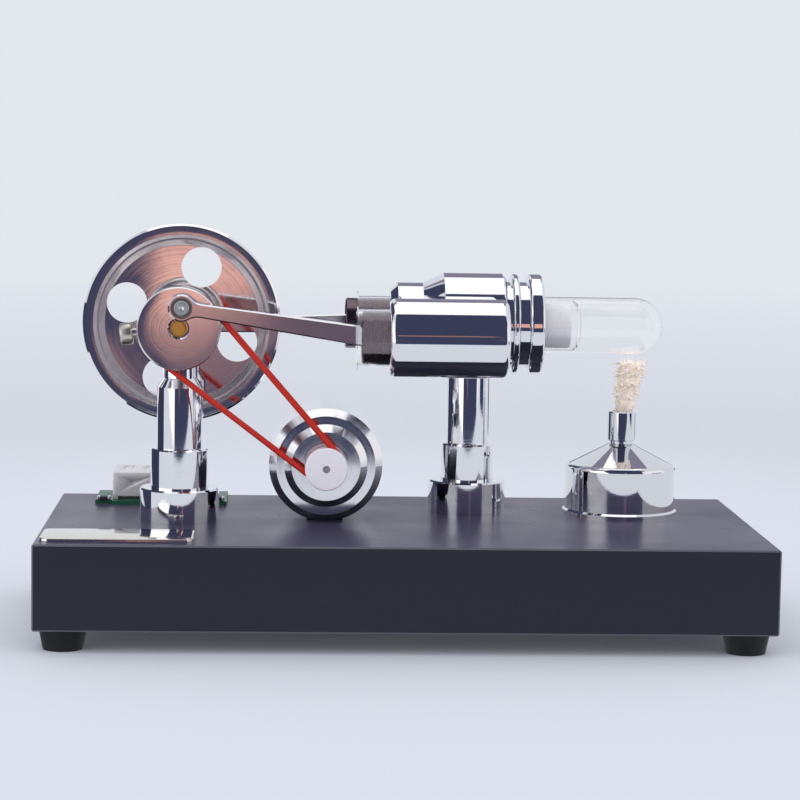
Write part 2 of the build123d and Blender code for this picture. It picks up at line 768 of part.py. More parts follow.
def crank_pin(pin, face_y, y, side):
    """A shouldered crank pin: its head lies on the bearing, on the side away from the crank face."""
    half = rod_thickness / 2 - rod_bearing_recess
    seat = y + side * half
    return turned_along_y(
        pin[0], pin[1], (0, face_y + side * pin_end_gap), (crank_pin_radius, face_y + side * pin_end_gap),
        (crank_pin_radius, seat), (crank_pin_head_radius, seat),
        (crank_pin_head_radius, seat + side * crank_pin_head), (0, seat + side * crank_pin_head))


power_pin = (power_pin_x, power_pin_z)
displacer_pin = (displacer_pin_x, displacer_pin_z)
pieces["power_rod"] = connecting_rod(power_pin, (power_gudgeon_x, power_z), power_y)
pieces["displacer_link"] = connecting_rod(displacer_pin, (displacer_gudgeon_x, displacer_z), displacer_y)
with BuildPart() as power_rod_bearing:
    add(rod_bearing(power_pin, power_y))
pieces["power_rod_bearing"] = power_rod_bearing

with BuildPart() as displacer_link_bearing:
    add(rod_bearing(displacer_pin, displacer_y))
pieces["displacer_link_bearing"] = displacer_link_bearing

with BuildPart() as power_crank_pin:
    add(crank_pin(power_pin, disc_front, power_y, -1))
pieces["power_crank_pin"] = power_crank_pin

with BuildPart() as displacer_crank_pin:
    add(crank_pin(displacer_pin, hub_rear, displacer_y, 1))
pieces["displacer_crank_pin"] = displacer_crank_pin


# ---- Pistons and displacer -----------------------------------------------------------------------
def piston(x, y, z, gudgeon_x, rod_hole=0.0):
    """A hollow piston, open to the left, drilled for its gudgeon pin."""
    skirt_radius = piston_radius - piston_wall
    c = piston_chamfer
    with BuildPart() as body:
        add(turned_along_x(
            y, z, (x, skirt_radius), (x, piston_radius - c), (x + c, piston_radius),
            (x + piston_length - c, piston_radius), (x + piston_length, piston_radius - c),
            (x + piston_length, rod_hole), (x + skirt_depth, rod_hole), (x + skirt_depth, skirt_radius)))
        with BuildSketch(facing(gudgeon_x, y + piston_radius, z)):
            Circle(gudgeon_radius)
        extrude(amount=2 * piston_radius, mode=Mode.SUBTRACT)
    return body


def gudgeon_pin(x, y, z):
    """The pin across a piston's skirt, short of the cylinder wall."""
    half = piston_radius - piston_chamfer
    return rod_along_y(x, z, gudgeon_radius, y - half, y + half)


pieces["power_piston"] = piston(power_piston_x, power_y, power_z, power_gudgeon_x)
pieces["guide_piston"] = piston(guide_piston_x, displacer_y, displacer_z, displacer_gudgeon_x,
                                displacer_rod_radius)
with BuildPart() as power_gudgeon_pin:
    add(gudgeon_pin(power_gudgeon_x, power_y, power_z))
pieces["power_gudgeon_pin"] = power_gudgeon_pin

with BuildPart() as guide_gudgeon_pin:
    add(gudgeon_pin(displacer_gudgeon_x, displacer_y, displacer_z))
pieces["guide_gudgeon_pin"] = guide_gudgeon_pin

with BuildPart() as displacer_rod:
    add(turned_along_x(
        displacer_y, displacer_z, (guide_piston_x + skirt_depth, 0),
        (guide_piston_x + skirt_depth, displacer_rod_radius),
        (displacer_x + displacer_plug, displacer_rod_radius), (displacer_x + displacer_plug, 0)))
pieces["displacer_rod"] = displacer_rod

displacer_end = displacer_x + displacer_length
core_start = displacer_x + displacer_plug
core_end = displacer_end - displacer_end_wall - displacer_core_gap
with BuildPart() as displacer_plug_piece:
    add(turned_along_x(
        displacer_y, displacer_z, (displacer_x, displacer_rod_radius),
        (displacer_x, displacer_radius - displacer_wall), (core_start, displacer_radius - displacer_wall),
        (core_start, displacer_rod_radius)))
pieces["displacer_plug"] = displacer_plug_piece

with BuildPart() as displacer_shell:
    with BuildSketch(facing(0, displacer_y, displacer_z)):
        with BuildLine():
            wall, end_wall, bend = displacer_wall, displacer_end_wall, displacer_round
            r = displacer_radius
            Line((displacer_x, r - wall), (displacer_x, r))
            Line((displacer_x, r), (displacer_end - bend, r))
            ThreePointArc((displacer_end - bend, r),
                          (displacer_end - bend * (1 - sin(radians(45))), r - bend * (1 - cos(radians(45)))),
                          (displacer_end, r - bend))
            Line((displacer_end, r - bend), (displacer_end, 0))
            Line((displacer_end, 0), (displacer_end - end_wall, 0))
            inner = bend - end_wall
            Line((displacer_end - end_wall, 0), (displacer_end - end_wall, r - wall - inner))
            ThreePointArc((displacer_end - end_wall, r - wall - inner),
                          (displacer_end - end_wall - inner * (1 - sin(radians(45))),
                           r - wall - inner * (1 - cos(radians(45)))),
                          (displacer_end - bend, r - wall))
            Line((displacer_end - bend, r - wall), (displacer_x, r - wall))
        make_face()
    revolve(axis=Axis((0, displacer_y, displacer_z), (1, 0, 0)))
pieces["displacer_shell"] = displacer_shell

with BuildPart() as displacer_core:
    core_radius = displacer_radius - displacer_wall
    add(turned_along_x(displacer_y, displacer_z, (core_start, 0), (core_start, core_radius),
                       (core_end, core_radius), (core_end, 0)))
pieces["displacer_core"] = displacer_core


# ---- Cylinder block ------------------------------------------------------------------------------
with BuildPart() as cylinder_block:
    power_end = block_x + power_barrel_length
    add(turned_along_x(
        power_y, power_z, (block_x, 0), (block_x, power_barrel_radius),
        (power_end, power_barrel_radius), (power_end, 0)))
    fillet(cylinder_block.edges().filter_by(GeomType.CIRCLE), power_barrel_round)
    c, h = barrel_chamfer, hot_barrel_chamfer
    add(turned_along_x(
        displacer_y, displacer_z, (cold_barrel_x, 0), (cold_barrel_x, cold_barrel_radius - c),
        (cold_barrel_x + c, cold_barrel_radius), (cone_x, cold_barrel_radius),
        (hot_barrel_x, hot_barrel_radius), (block_end - h, hot_barrel_radius),
        (block_end, hot_barrel_radius - h), (block_end, 0)))
    bridge_x0 = cold_barrel_x + bridge_inset
    bridge_x1 = power_end - bridge_inset
    with BuildSketch(Plane(((bridge_x0 + bridge_x1) / 2, (power_y + displacer_y) / 2,
                            power_z + bridge_bottom))):
        Rectangle(bridge_x1 - bridge_x0, displacer_y - power_y)
    extrude(amount=bridge_top - bridge_bottom)
    add(turned_along_x(
        power_y, power_z, (block_x, 0), (block_x, glass_outer), (power_glass_end, glass_outer),
        (power_glass_end, glass_inner), (power_bore_end, glass_inner), (power_bore_end, 0)),
        mode=Mode.SUBTRACT)
    add(turned_along_x(
        displacer_y, displacer_z, (cold_barrel_x, 0), (cold_barrel_x, glass_outer),
        (guide_glass_end, glass_outer), (guide_glass_end, rod_bush_radius),
        (chamber_x, rod_bush_radius), (chamber_x, hot_tube_inner), (hot_tube_x, hot_tube_inner),
        (hot_tube_x, hot_tube_outer), (block_end, hot_tube_outer), (block_end, 0)),
        mode=Mode.SUBTRACT)
    with BuildSketch(facing(port_x, displacer_y, power_z)):
        Circle(port_radius)
    extrude(amount=displacer_y - power_y, mode=Mode.SUBTRACT)
    with BuildSketch(Plane((cylinder_post_x, displacer_y, displacer_z - hot_barrel_radius + post_socket))):
        Circle(cylinder_column_radius)
    extrude(amount=-2 * post_socket, mode=Mode.SUBTRACT)
pieces["cylinder_block"] = cylinder_block


def cylinder_glass(mouth_x, end_x, y, z, lip_height):
    """A glass cylinder liner with a thin lip at its open end."""
    lip_radius = glass_outer + lip_height
    return turned_along_x(
        y, z, (mouth_x, glass_inner), (mouth_x, lip_radius), (mouth_x + glass_lip, lip_radius),
        (mouth_x + glass_lip, glass_outer), (end_x, glass_outer), (end_x, glass_inner))


with BuildPart() as power_cylinder_glass:
    add(cylinder_glass(block_x - power_mouth, power_glass_end, power_y, power_z, power_lip_height))
pieces["power_cylinder_glass"] = power_cylinder_glass

with BuildPart() as guide_cylinder_glass:
    add(cylinder_glass(cold_barrel_x - displacer_mouth, guide_glass_end, displacer_y, displacer_z,
                       guide_lip_height))
pieces["guide_cylinder_glass"] = guide_cylinder_glass

with BuildPart() as displacer_rod_bush:
    add(ring_along_x(displacer_y, displacer_z, displacer_rod_radius + running_gap, rod_bush_radius,
                     guide_glass_end, chamber_x))
pieces["displacer_rod_bush"] = displacer_rod_bush

with BuildPart() as hot_end_flange:
    neck, ring = flange_neck_radius, flange_ring_radius
    ring_end = ring_x + flange_ring
    add(turned_along_x(
        displacer_y, displacer_z, (block_end, hot_tube_outer), (block_end, neck), (ring_x, neck),
        (ring_x, ring), (ring_end, ring), (ring_end, neck), (nut_x, neck), (nut_x, seal_radius),
        (nut_x - seal_width, seal_radius), (nut_x - seal_width, hot_tube_outer)))
    fillet(outer_rims(hot_end_flange, ring), flange_round)
pieces["hot_end_flange"] = hot_end_flange

with BuildPart() as hot_tube_seal:
    add(ring_along_x(displacer_y, displacer_z, hot_tube_outer, seal_radius, nut_x - seal_width, nut_x))
pieces["hot_tube_seal"] = hot_tube_seal

with BuildPart() as hot_end_nut:
    add(ring_along_x(displacer_y, displacer_z, hot_tube_outer, flange_ring_radius, nut_x, nut_end))
    fillet(outer_rims(hot_end_nut, flange_ring_radius), nut_round)
pieces["hot_end_nut"] = hot_end_nut

with BuildPart() as hot_tube:
    dome_x = hot_tube_end - hot_tube_outer
    slant = cos(radians(45))
    with BuildSketch(facing(0, displacer_y, displacer_z)):
        with BuildLine():
            Line((hot_tube_x, hot_tube_inner), (hot_tube_x, hot_tube_outer))
            Line((hot_tube_x, hot_tube_outer), (dome_x, hot_tube_outer))
            ThreePointArc((dome_x, hot_tube_outer),
                          (dome_x + hot_tube_outer * slant, hot_tube_outer * slant),
                          (dome_x + hot_tube_outer, 0))
            Line((dome_x + hot_tube_outer, 0), (dome_x + hot_tube_inner, 0))
            ThreePointArc((dome_x + hot_tube_inner, 0),
                          (dome_x + hot_tube_inner * slant, hot_tube_inner * slant),
                          (dome_x, hot_tube_inner))
            Line((dome_x, hot_tube_inner), (hot_tube_x, hot_tube_inner))
        make_face()
    revolve(axis=Axis((0, displacer_y, displacer_z), (1, 0, 0)))
pieces["hot_tube"] = hot_tube


# ---- Spirit burner -------------------------------------------------------------------------------
with BuildPart() as burner_tank:
    rim_top = deck + burner_rim_height
    floor = deck + burner_wall
    wall_top = deck + burner_wall_height - burner_lid_rim
    inner_radius = burner_radius - burner_wall
    add(turned_along_z(
        burner_x, burner_y, (0, deck), (burner_radius + burner_rim, deck),
        (burner_radius + burner_rim, rim_top), (burner_radius, rim_top + burner_rim),
        (burner_radius, wall_top), (inner_radius, wall_top), (inner_radius, floor), (0, floor)))
pieces["burner_tank"] = burner_tank

with BuildPart() as burner_lid:
    cone_top = deck + burner_cone_top
    neck_top = deck + burner_neck_top
    drop = burner_wall
    add(turned_along_z(
        burner_x, burner_y, (burner_radius, wall_top), (burner_radius, wall_top + burner_lid_rim),
        (burner_neck_radius, cone_top), (burner_neck_radius, neck_top), (wick_radius, neck_top),
        (wick_radius, cone_top - drop), (burner_radius - 2 * drop, wall_top)))
    fillet(outer_rims(burner_lid, burner_radius).sort_by(Axis.Z)[-1], burner_shoulder)
pieces["burner_lid"] = burner_lid

with BuildPart() as wick_holder:
    c = wick_holder_chamfer
    holder = wick_holder_radius
    holder_base = cone_top + wick_holder_start
    add(turned_along_z(
        burner_x, burner_y, (burner_neck_radius, holder_base), (holder - c, holder_base),
        (holder, holder_base + c), (holder, wick_holder_top - c), (holder - c, wick_holder_top),
        (wick_radius, wick_holder_top), (wick_radius, neck_top), (burner_neck_radius, neck_top)))
pieces["wick_holder"] = wick_holder

with BuildPart() as wick:
    with BuildSketch(Plane((burner_x, burner_y, deck + wick_bottom))):
        Circle(wick_radius)
    extrude(amount=wick_holder_top - deck - wick_bottom)
    with BuildSketch(Plane((burner_x, burner_y, wick_holder_top))):
        Circle(wick_radius)
    with BuildSketch(Plane((burner_x + wick_lean / 2, burner_y, wick_holder_top + wick_height / 2))):
        Circle((wick_radius + wick_top_radius) / 2)
    with BuildSketch(Plane((burner_x + wick_lean, burner_y, wick_holder_top + wick_height))):
        Circle(wick_top_radius)
    loft()
pieces["wick"] = wick


# ---- Circuit board and USB socket ----------------------------------------------------------------
with BuildPart() as circuit_board:
    with BuildSketch(Plane((board_x, board_y, deck))):
        Rectangle(board_length, board_depth, align=(Align.MIN, Align.MIN))
        Rectangle(2 * usb_left, 2 * board_notch, mode=Mode.SUBTRACT)
    extrude(amount=board_thickness)
pieces["circuit_board"] = circuit_board

with BuildPart() as usb_shell:
    with BuildSketch(Plane((usb_x, usb_y, usb_z))):
        Rectangle(usb_width, usb_length, align=(Align.CENTER, Align.MIN))
    extrude(amount=usb_height)
    fillet(usb_shell.edges().filter_by(Axis.Y), usb_wall)
    with BuildSketch(facing(usb_x, usb_y + usb_length, usb_z + usb_height / 2)):
        Rectangle(usb_width - 2 * usb_wall, usb_height - 2 * usb_wall)
    extrude(amount=usb_length - usb_wall, mode=Mode.SUBTRACT)
    with BuildSketch(Plane((usb_x, usb_y, board_z))):
        with Locations((0, usb_leg_width / 2), (0, usb_length - 2 * usb_leg_width)):
            with GridLocations(usb_width - usb_leg_width, 0, 2, 1):
                Rectangle(usb_leg_width, usb_leg_width)
    extrude(amount=usb_leg + usb_wall)
pieces["usb_shell"] = usb_shell

with BuildPart() as usb_insulator:
    block_y = usb_y + usb_wall
    with BuildSketch(facing(usb_x, block_y + usb_block, usb_z + usb_height / 2)):
        Rectangle(usb_width - 2 * usb_wall, usb_height - 2 * usb_wall)
    extrude(amount=usb_block)
    with BuildSketch(facing(usb_x, block_y + usb_block, usb_z + usb_height / 2 + tongue_rise)):
        Rectangle(tongue_width, tongue_thickness)
    extrude(amount=-tongue_length)
pieces["usb_insulator"] = usb_insulator

with BuildPart() as usb_contacts:
    contact_z = usb_z + usb_height / 2 + tongue_rise - tongue_thickness / 2
    with BuildSketch(Plane((usb_x, block_y + usb_block + tongue_length / 2, contact_z))):
        with GridLocations(contact_pitch, 0, 4, 1):
            Rectangle(contact_width, tongue_length - contact_width)
    extrude(amount=-contact_thickness)
pieces["usb_contacts"] = usb_contacts

with BuildPart() as board_components:
    with BuildSketch(Plane((board_x, board_y, board_z))):
        chip_end = board_length - chip_length / 2
        with Locations((chip_length / 2 + chip_inset, chip_depth / 2 + chip_inset),
                       (chip_end - chip_inset, chip_depth / 2 + chip_inset),
                       (chip_end - chip_row, board_depth / 2)):
            Rectangle(chip_length, chip_depth)
    extrude(amount=chip_height)
pieces["board_components"] = board_components


# ---- Write one STEP file for each piece ----------------------------------------------------------
os.makedirs("parts", exist_ok=True)
for name, piece in pieces.items():
    piece.part.label = name
    export_step(piece.part, f"parts/{name}.step")
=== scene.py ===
"""Bench-top hot-air engine: its finishes, its fine pieces, a plain studio and a camera."""

import logging
import math
import random
from collections.abc import Callable
from dataclasses import dataclass, replace
from enum import Enum
from typing import ClassVar

import bmesh
import bpy
from mathutils import Matrix, Vector


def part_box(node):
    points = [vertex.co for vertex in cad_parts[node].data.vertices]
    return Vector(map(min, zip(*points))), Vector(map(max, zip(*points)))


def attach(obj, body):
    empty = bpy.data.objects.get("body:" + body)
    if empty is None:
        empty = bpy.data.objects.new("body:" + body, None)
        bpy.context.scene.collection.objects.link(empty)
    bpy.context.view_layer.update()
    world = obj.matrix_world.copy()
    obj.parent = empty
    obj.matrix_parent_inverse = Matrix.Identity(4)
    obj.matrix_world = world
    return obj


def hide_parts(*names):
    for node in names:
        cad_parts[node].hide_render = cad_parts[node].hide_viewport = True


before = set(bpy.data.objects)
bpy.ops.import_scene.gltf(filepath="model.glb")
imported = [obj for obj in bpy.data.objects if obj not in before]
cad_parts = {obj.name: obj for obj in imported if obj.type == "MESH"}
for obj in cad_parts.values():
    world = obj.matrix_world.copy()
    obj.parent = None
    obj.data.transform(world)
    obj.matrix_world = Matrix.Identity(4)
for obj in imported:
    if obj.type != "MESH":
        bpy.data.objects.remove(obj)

LOG = logging.getLogger("hot_air_engine")
MM = 0.001
NEAR = MM / 10                  # how near a face a corner has to be to count as on it
FIRST, SECOND, MIXED = 6, 7, 2  # a colour mix's two inputs and its output, by number
ALONG = Vector((1.0, 0.0, 0.0))
REARWARDS = Vector((0.0, 1.0, 0.0))
UP = Vector((0.0, 0.0, 1.0))
Point = tuple[float, float, float]
Steps = tuple[tuple[float, float], ...]
Piece = bpy.types.Object
Tree = bpy.types.NodeTree
Socket = bpy.types.NodeSocket
Feeds = dict[str, Socket]


class TurningAxis(Enum):
    """The line that a turned piece was spun about in the lathe."""

    ALONG_X = (1.0, 0.0, 0.0)
    ALONG_Y = (0.0, 1.0, 0.0)
    UPRIGHT = (0.0, 0.0, 1.0)


# ---- Small tools ---------------------------------------------------------------------------------
def linear(hex_colour: str) -> tuple[float, float, float, float]:
    """Turn an sRGB hex colour into the linear colour that a socket takes.

    Args:
        hex_colour: six hex digits with a leading hash.

    Returns:
        Red, green, blue and alpha, in linear light.
    """
    parts = [int(hex_colour[i:i + 2], 16) / 255 for i in (1, 3, 5)]
    red, green, blue = (c / 12.92 if c <= 0.04045 else ((c + 0.055) / 1.055) ** 2.4 for c in parts)
    return (red, green, blue, 1.0)


def add_node(tree: Tree, kind: str, settings: dict | None = None,
             links: dict | None = None) -> bpy.types.Node:
    """Add one node with its settings and links.

    Args:
        tree: the node tree that takes it.
        kind: the node's type name, without the prefix that all of them share.
        settings: properties of the node, and values of its inputs by name or number.
        links: the sockets that feed its inputs, by the input's name or number.

    Returns:
        The new node.
    """
    node = tree.nodes.new("ShaderNode" + kind)
    for name, value in (settings or {}).items():
        if isinstance(name, int) or name in node.inputs:
            node.inputs[name].default_value = value
        else:
            setattr(node, name, value)
    for name, socket in (links or {}).items():
        tree.links.new(socket, node.inputs[name])
    return node


def empty_tree(owner: bpy.types.Material | bpy.types.World) -> Tree:
    """Switch a material or a world over to nodes, and clear them.

    Args:
        owner: the material or the world.

    Returns:
        Its empty node tree.
    """
    owner.use_nodes = True
    owner.node_tree.nodes.clear()
    return owner.node_tree


def per_metre(size: float) -> float:
    """Give how many of a size in millimetres fit in a metre, as a noise's scale."""
    return 1 / (size * MM)


def middle(node: str) -> Vector:
    """Give the middle of a CAD node's box, in metres.

    Args:
        node: the CAD node's name.

    Returns:
        The point half way between its corners.
    """
    low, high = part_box(node)
    return (low + high) / 2


def between(table: Steps, at: float) -> float:
    """Read a value from a short table of steps, on the straight line between its two neighbours.

    Args:
        table: pairs of place and value, in order of place.
        at: the place to read.

    Returns:
        The value there.
    """
    for (low, first), (high, second) in zip(table, table[1:]):
        if at <= high:
            share = max(0.0, (at - low) / (high - low))
            return first + (second - first) * share
    return table[-1][1]


def round_about(angle: float) -> Vector:
    """Give the level direction at an angle from X, in radians."""
    return Vector((math.cos(angle), math.sin(angle), 0.0))


# ---- Modelling tools -----------------------------------------------------------------------------
def opened(name: str) -> Piece:
    """Name the new primitive, put its place and size into its mesh and open it in edit mode.

    Args:
        name: its name.

    Returns:
        The piece, selected all over.
    """
    piece = bpy.context.active_object
    piece.name = piece.data.name = name
    bpy.ops.object.transform_apply(location=True, rotation=True, scale=True)
    bpy.ops.object.mode_set(mode="EDIT")
    bpy.ops.mesh.select_mode(type="EDGE")
    bpy.ops.mesh.select_all(action="SELECT")
    return piece


def open_ring(name: str, sides: int, radius: float, centre: Vector = Vector(),
              direction: Vector = UP, filled: bool = False) -> Piece:
    """Add a ring that a piece is drawn out from, open in edit mode.

    Args:
        name: the piece's name.
        sides: how many edges go round.
        radius: the ring's radius, metres.
        centre: its centre, metres.
        direction: where the piece goes from it.
        filled: whether the ring has a face.

    Returns:
        The piece.
    """
    bpy.ops.object.select_all(action="DESELECT")
    bpy.ops.mesh.primitive_circle_add(
        vertices=sides, radius=radius, location=centre,
        rotation=UP.rotation_difference(direction).to_euler(),
        fill_type="NGON" if filled else "NOTHING")
    return opened(name)


def open_block(name: str, low: Vector, high: Vector) -> Piece:
    """Add a sharp-edged block that a piece is shaped from, open in edit mode.

    Args:
        name: the piece's name.
        low: the block's lowest corner, metres.
        high: its highest corner, metres.

    Returns:
        The piece.
    """
    bpy.ops.object.select_all(action="DESELECT")
    bpy.ops.mesh.primitive_cube_add(size=1.0, location=(low + high) / 2)
    bpy.context.active_object.scale = high - low
    return opened(name)


def select_faces(piece: Piece, wanted: Callable[[Vector, Vector], bool]) -> None:
    """Select, in edit mode, the faces that pass a test of their middle and normal.

    Args:
        piece: the piece being edited.
        wanted: says whether a face with this middle and normal is selected.
    """
    bpy.ops.mesh.select_mode(type="FACE")
    shape = bmesh.from_edit_mesh(piece.data)
    for face in shape.faces:
        face.select_set(wanted(face.calc_center_median(), face.normal))
    bmesh.update_edit_mesh(piece.data)


def select_edges(piece: Piece, wanted: Callable[[Vector, Vector], bool]) -> None:
    """Select, in edit mode, the edges that pass a test of their two ends.

    Args:
        piece: the piece being edited.
        wanted: says whether an edge between these two points is selected.
    """
    bpy.ops.mesh.select_mode(type="EDGE")
    bpy.ops.mesh.select_all(action="DESELECT")
    shape = bmesh.from_edit_mesh(piece.data)
    for edge in shape.edges:
        edge.select_set(wanted(edge.verts[0].co, edge.verts[1].co))
    bmesh.update_edit_mesh(piece.data)


def draw_ring(step: Vector, scale: float = 1.0) -> None:
    """Draw the selected ring of edges out by one step, and make its new end wider or narrower.

    Args:
        step: where the new end lies from the old one, metres.
        scale: its width against the old one's.
    """
    bpy.ops.mesh.extrude_edges_move(TRANSFORM_OT_translate={"value": step})
    shape = bmesh.from_edit_mesh(bpy.context.edit_object.data)
    ends = [vertex.co for vertex in shape.verts if vertex.select]
    centre = sum(ends, Vector()) / len(ends)
    bpy.ops.transform.resize(value=(scale, scale, scale), center_override=centre)


def close_up(piece: Piece, angle: float = 30.0) -> None:
    """Merge doubles, turn the faces outwards, leave edit mode and shade the piece smooth.

    Args:
        piece: the piece being edited.
        angle: edges sharper than this stay sharp, degrees.
    """
    bpy.ops.mesh.select_all(action="SELECT")
    bpy.ops.mesh.remove_doubles(threshold=1e-6)
    bpy.ops.mesh.select_all(action="SELECT")
    bpy.ops.mesh.normals_make_consistent(inside=False)
    bpy.ops.object.mode_set(mode="OBJECT")
    bpy.ops.object.shade_smooth_by_angle(angle=math.radians(angle))


def turned(name: str, outline: Steps, centre: Vector, direction: Vector,
           sides: int = 96) -> Piece:
    """Turn a piece as in a lathe: a ring drawn out step by step along its outline.

    Args:
        name: the piece's name.
        outline: pairs of radius and distance along the axis, mm; it closes on itself as a tube when
            it ends where it began, and otherwise its two ends get flat faces.
        centre: the point on the axis that distances start from, metres.
        direction: the axis.
        sides: how many faces go round.

    Returns:
        The finished piece.
    """
    hollow = outline[0] == outline[-1]
    piece = open_ring(name, sides, outline[0][0] * MM, UP * outline[0][1] * MM, filled=not hollow)
    for (radius, place), (next_radius, next_place) in zip(outline, outline[1:]):
        draw_ring(UP * (next_place - place) * MM, next_radius / radius)
    if not hollow:
        bpy.ops.mesh.edge_face_add()
    close_up(piece)
    turn = UP.rotation_difference(direction).to_matrix().to_4x4()
    piece.data.transform(Matrix.Translation(centre) @ turn)
    return piece


def block(name: str, low: Vector, high: Vector, edge: float) -> Piece:
    """Make a block whose edges are softened as a real one's are.

    Args:
        name: the piece's name.
        low: its lowest corner, metres.
        high: its highest corner, metres.
        edge: the width of its softened edges, mm.

    Returns:
        The finished block.
    """
    piece = open_block(name, low, high)
    bpy.ops.mesh.bevel(offset=edge * MM, segments=2)
    close_up(piece)
    return piece


def block_about(name: str, centre: Vector, half: Vector, edge: float) -> Piece:
    """Make a softened block from its middle and half its size, both in metres."""
    return block(name, centre - half, centre + half, edge)


def apply_modifier(piece: Piece, kind: str, **settings: object) -> None:
    """Put one modifier on a piece and apply it.

    Args:
        piece: the piece.
        kind: the modifier's type name.
        **settings: the modifier's own settings.
    """
    bpy.ops.object.select_all(action="DESELECT")
    piece.select_set(True)
    bpy.context.view_layer.objects.active = piece
    modifier = piece.modifiers.new(kind.lower(), kind)
    for name, value in settings.items():
        setattr(modifier, name, value)
    bpy.ops.object.modifier_apply(modifier=modifier.name)


def roughen(piece: Piece, size: float, height: float, level: float,
            octaves: int = 2) -> None:
    """Push a piece's skin in and out by a cloudy relief.

    Args:
        piece: the piece.
        size: the relief's size, mm.
        height: how far it reaches from its lowest to its highest point, mm.
        level: the share of the relief that lies below the old skin.
        octaves: how many finer layers it has.
    """
    clouds = bpy.data.textures.new(piece.name + "_relief", "CLOUDS")
    clouds.noise_scale = size * MM
    clouds.noise_depth = octaves
    apply_modifier(piece, "DISPLACE", texture=clouds, strength=height * MM, mid_level=level,
                   texture_coords="LOCAL")


def cut(piece: Piece, tool: Piece) -> None:
    """Cut one piece's shape out of another and put the tool away.

    Args:
        piece: the piece that is cut.
        tool: the piece whose shape is taken out.
    """
    apply_modifier(piece, "BOOLEAN", object=tool, operation="DIFFERENCE", solver="EXACT")
    bpy.data.objects.remove(tool, do_unlink=True)


def copied(model: Piece, placements: list[Matrix]) -> list[Piece]:
    """Copy a model to several places, each copy with its own mesh, and put the model away.

    Args:
        model: the piece to copy.
        placements: how each copy's mesh is moved.

    Returns:
        The copies.
    """
    copies = []
    for number, placement in enumerate(placements):
        copy = bpy.data.objects.new(f"{model.name}_{number}", model.data.copy())
        copy.data.transform(placement)
        bpy.context.scene.collection.objects.link(copy)
        copies.append(copy)
    bpy.data.objects.remove(model, do_unlink=True)
    return copies


def joined(name: str, pieces: list[Piece]) -> Piece:
    """Join several meshes into one piece.

    Args:
        name: the joined piece's name.
        pieces: the meshes, of which the first takes in the others.

    Returns:
        The joined piece.
    """
    bpy.ops.object.select_all(action="DESELECT")
    for piece in pieces:
        piece.select_set(True)
    bpy.context.view_layer.objects.active = pieces[0]
    bpy.ops.object.join()
    whole = bpy.context.active_object
    whole.name = whole.data.name = name
    return whole


# ---- Finishes ------------------------------------------------------------------------------------
@dataclass(frozen=True)
class Finish:
    """What every finish has: a name, a colour and a gloss."""

    name: str
    colour: str
    roughness: float

    def material(self) -> bpy.types.Material:
        """Return this finish's material, made the first time it is asked for."""
        found = bpy.data.materials.get(self.name)
        if found is not None:
            return found
        material = bpy.data.materials.new(self.name)
        tree = empty_tree(material)
        place = add_node(tree, "TexCoord").outputs["Object"]
        shader = add_node(tree, "BsdfPrincipled",
                          {"Base Color": linear(self.colour), "Roughness": self.roughness,
                           **self.constants()}, self.pattern(tree, place))
        add_node(tree, "OutputMaterial", {}, {"Surface": shader.outputs["BSDF"]})
        return material

    def constants(self) -> dict[str, object]:
        """Give the shader's values that are the same all over the surface."""
        return {}

    def spread(self, low: float, high: float, least: float, most: float) -> dict[str, float]:
        """Spread the roughness over a noise's range.

        Args:
            low: the noise's low end.
            high: its high end.
            least: the share of the roughness that the low end gets.
            most: the share that the high end gets.

        Returns:
            The settings of the node that does so.
        """
        return {"From Min": low, "From Max": high, "To Min": self.roughness * least,
                "To Max": self.roughness * most}

    def pattern(self, tree: Tree, place: Socket) -> Feeds:
        """Add this finish's own nodes.

        Args:
            tree: the material's node tree.
            place: the point on the piece, in metres.

        Returns:
            What feeds the shader, by the name of its input.
        """
        raise NotImplementedError


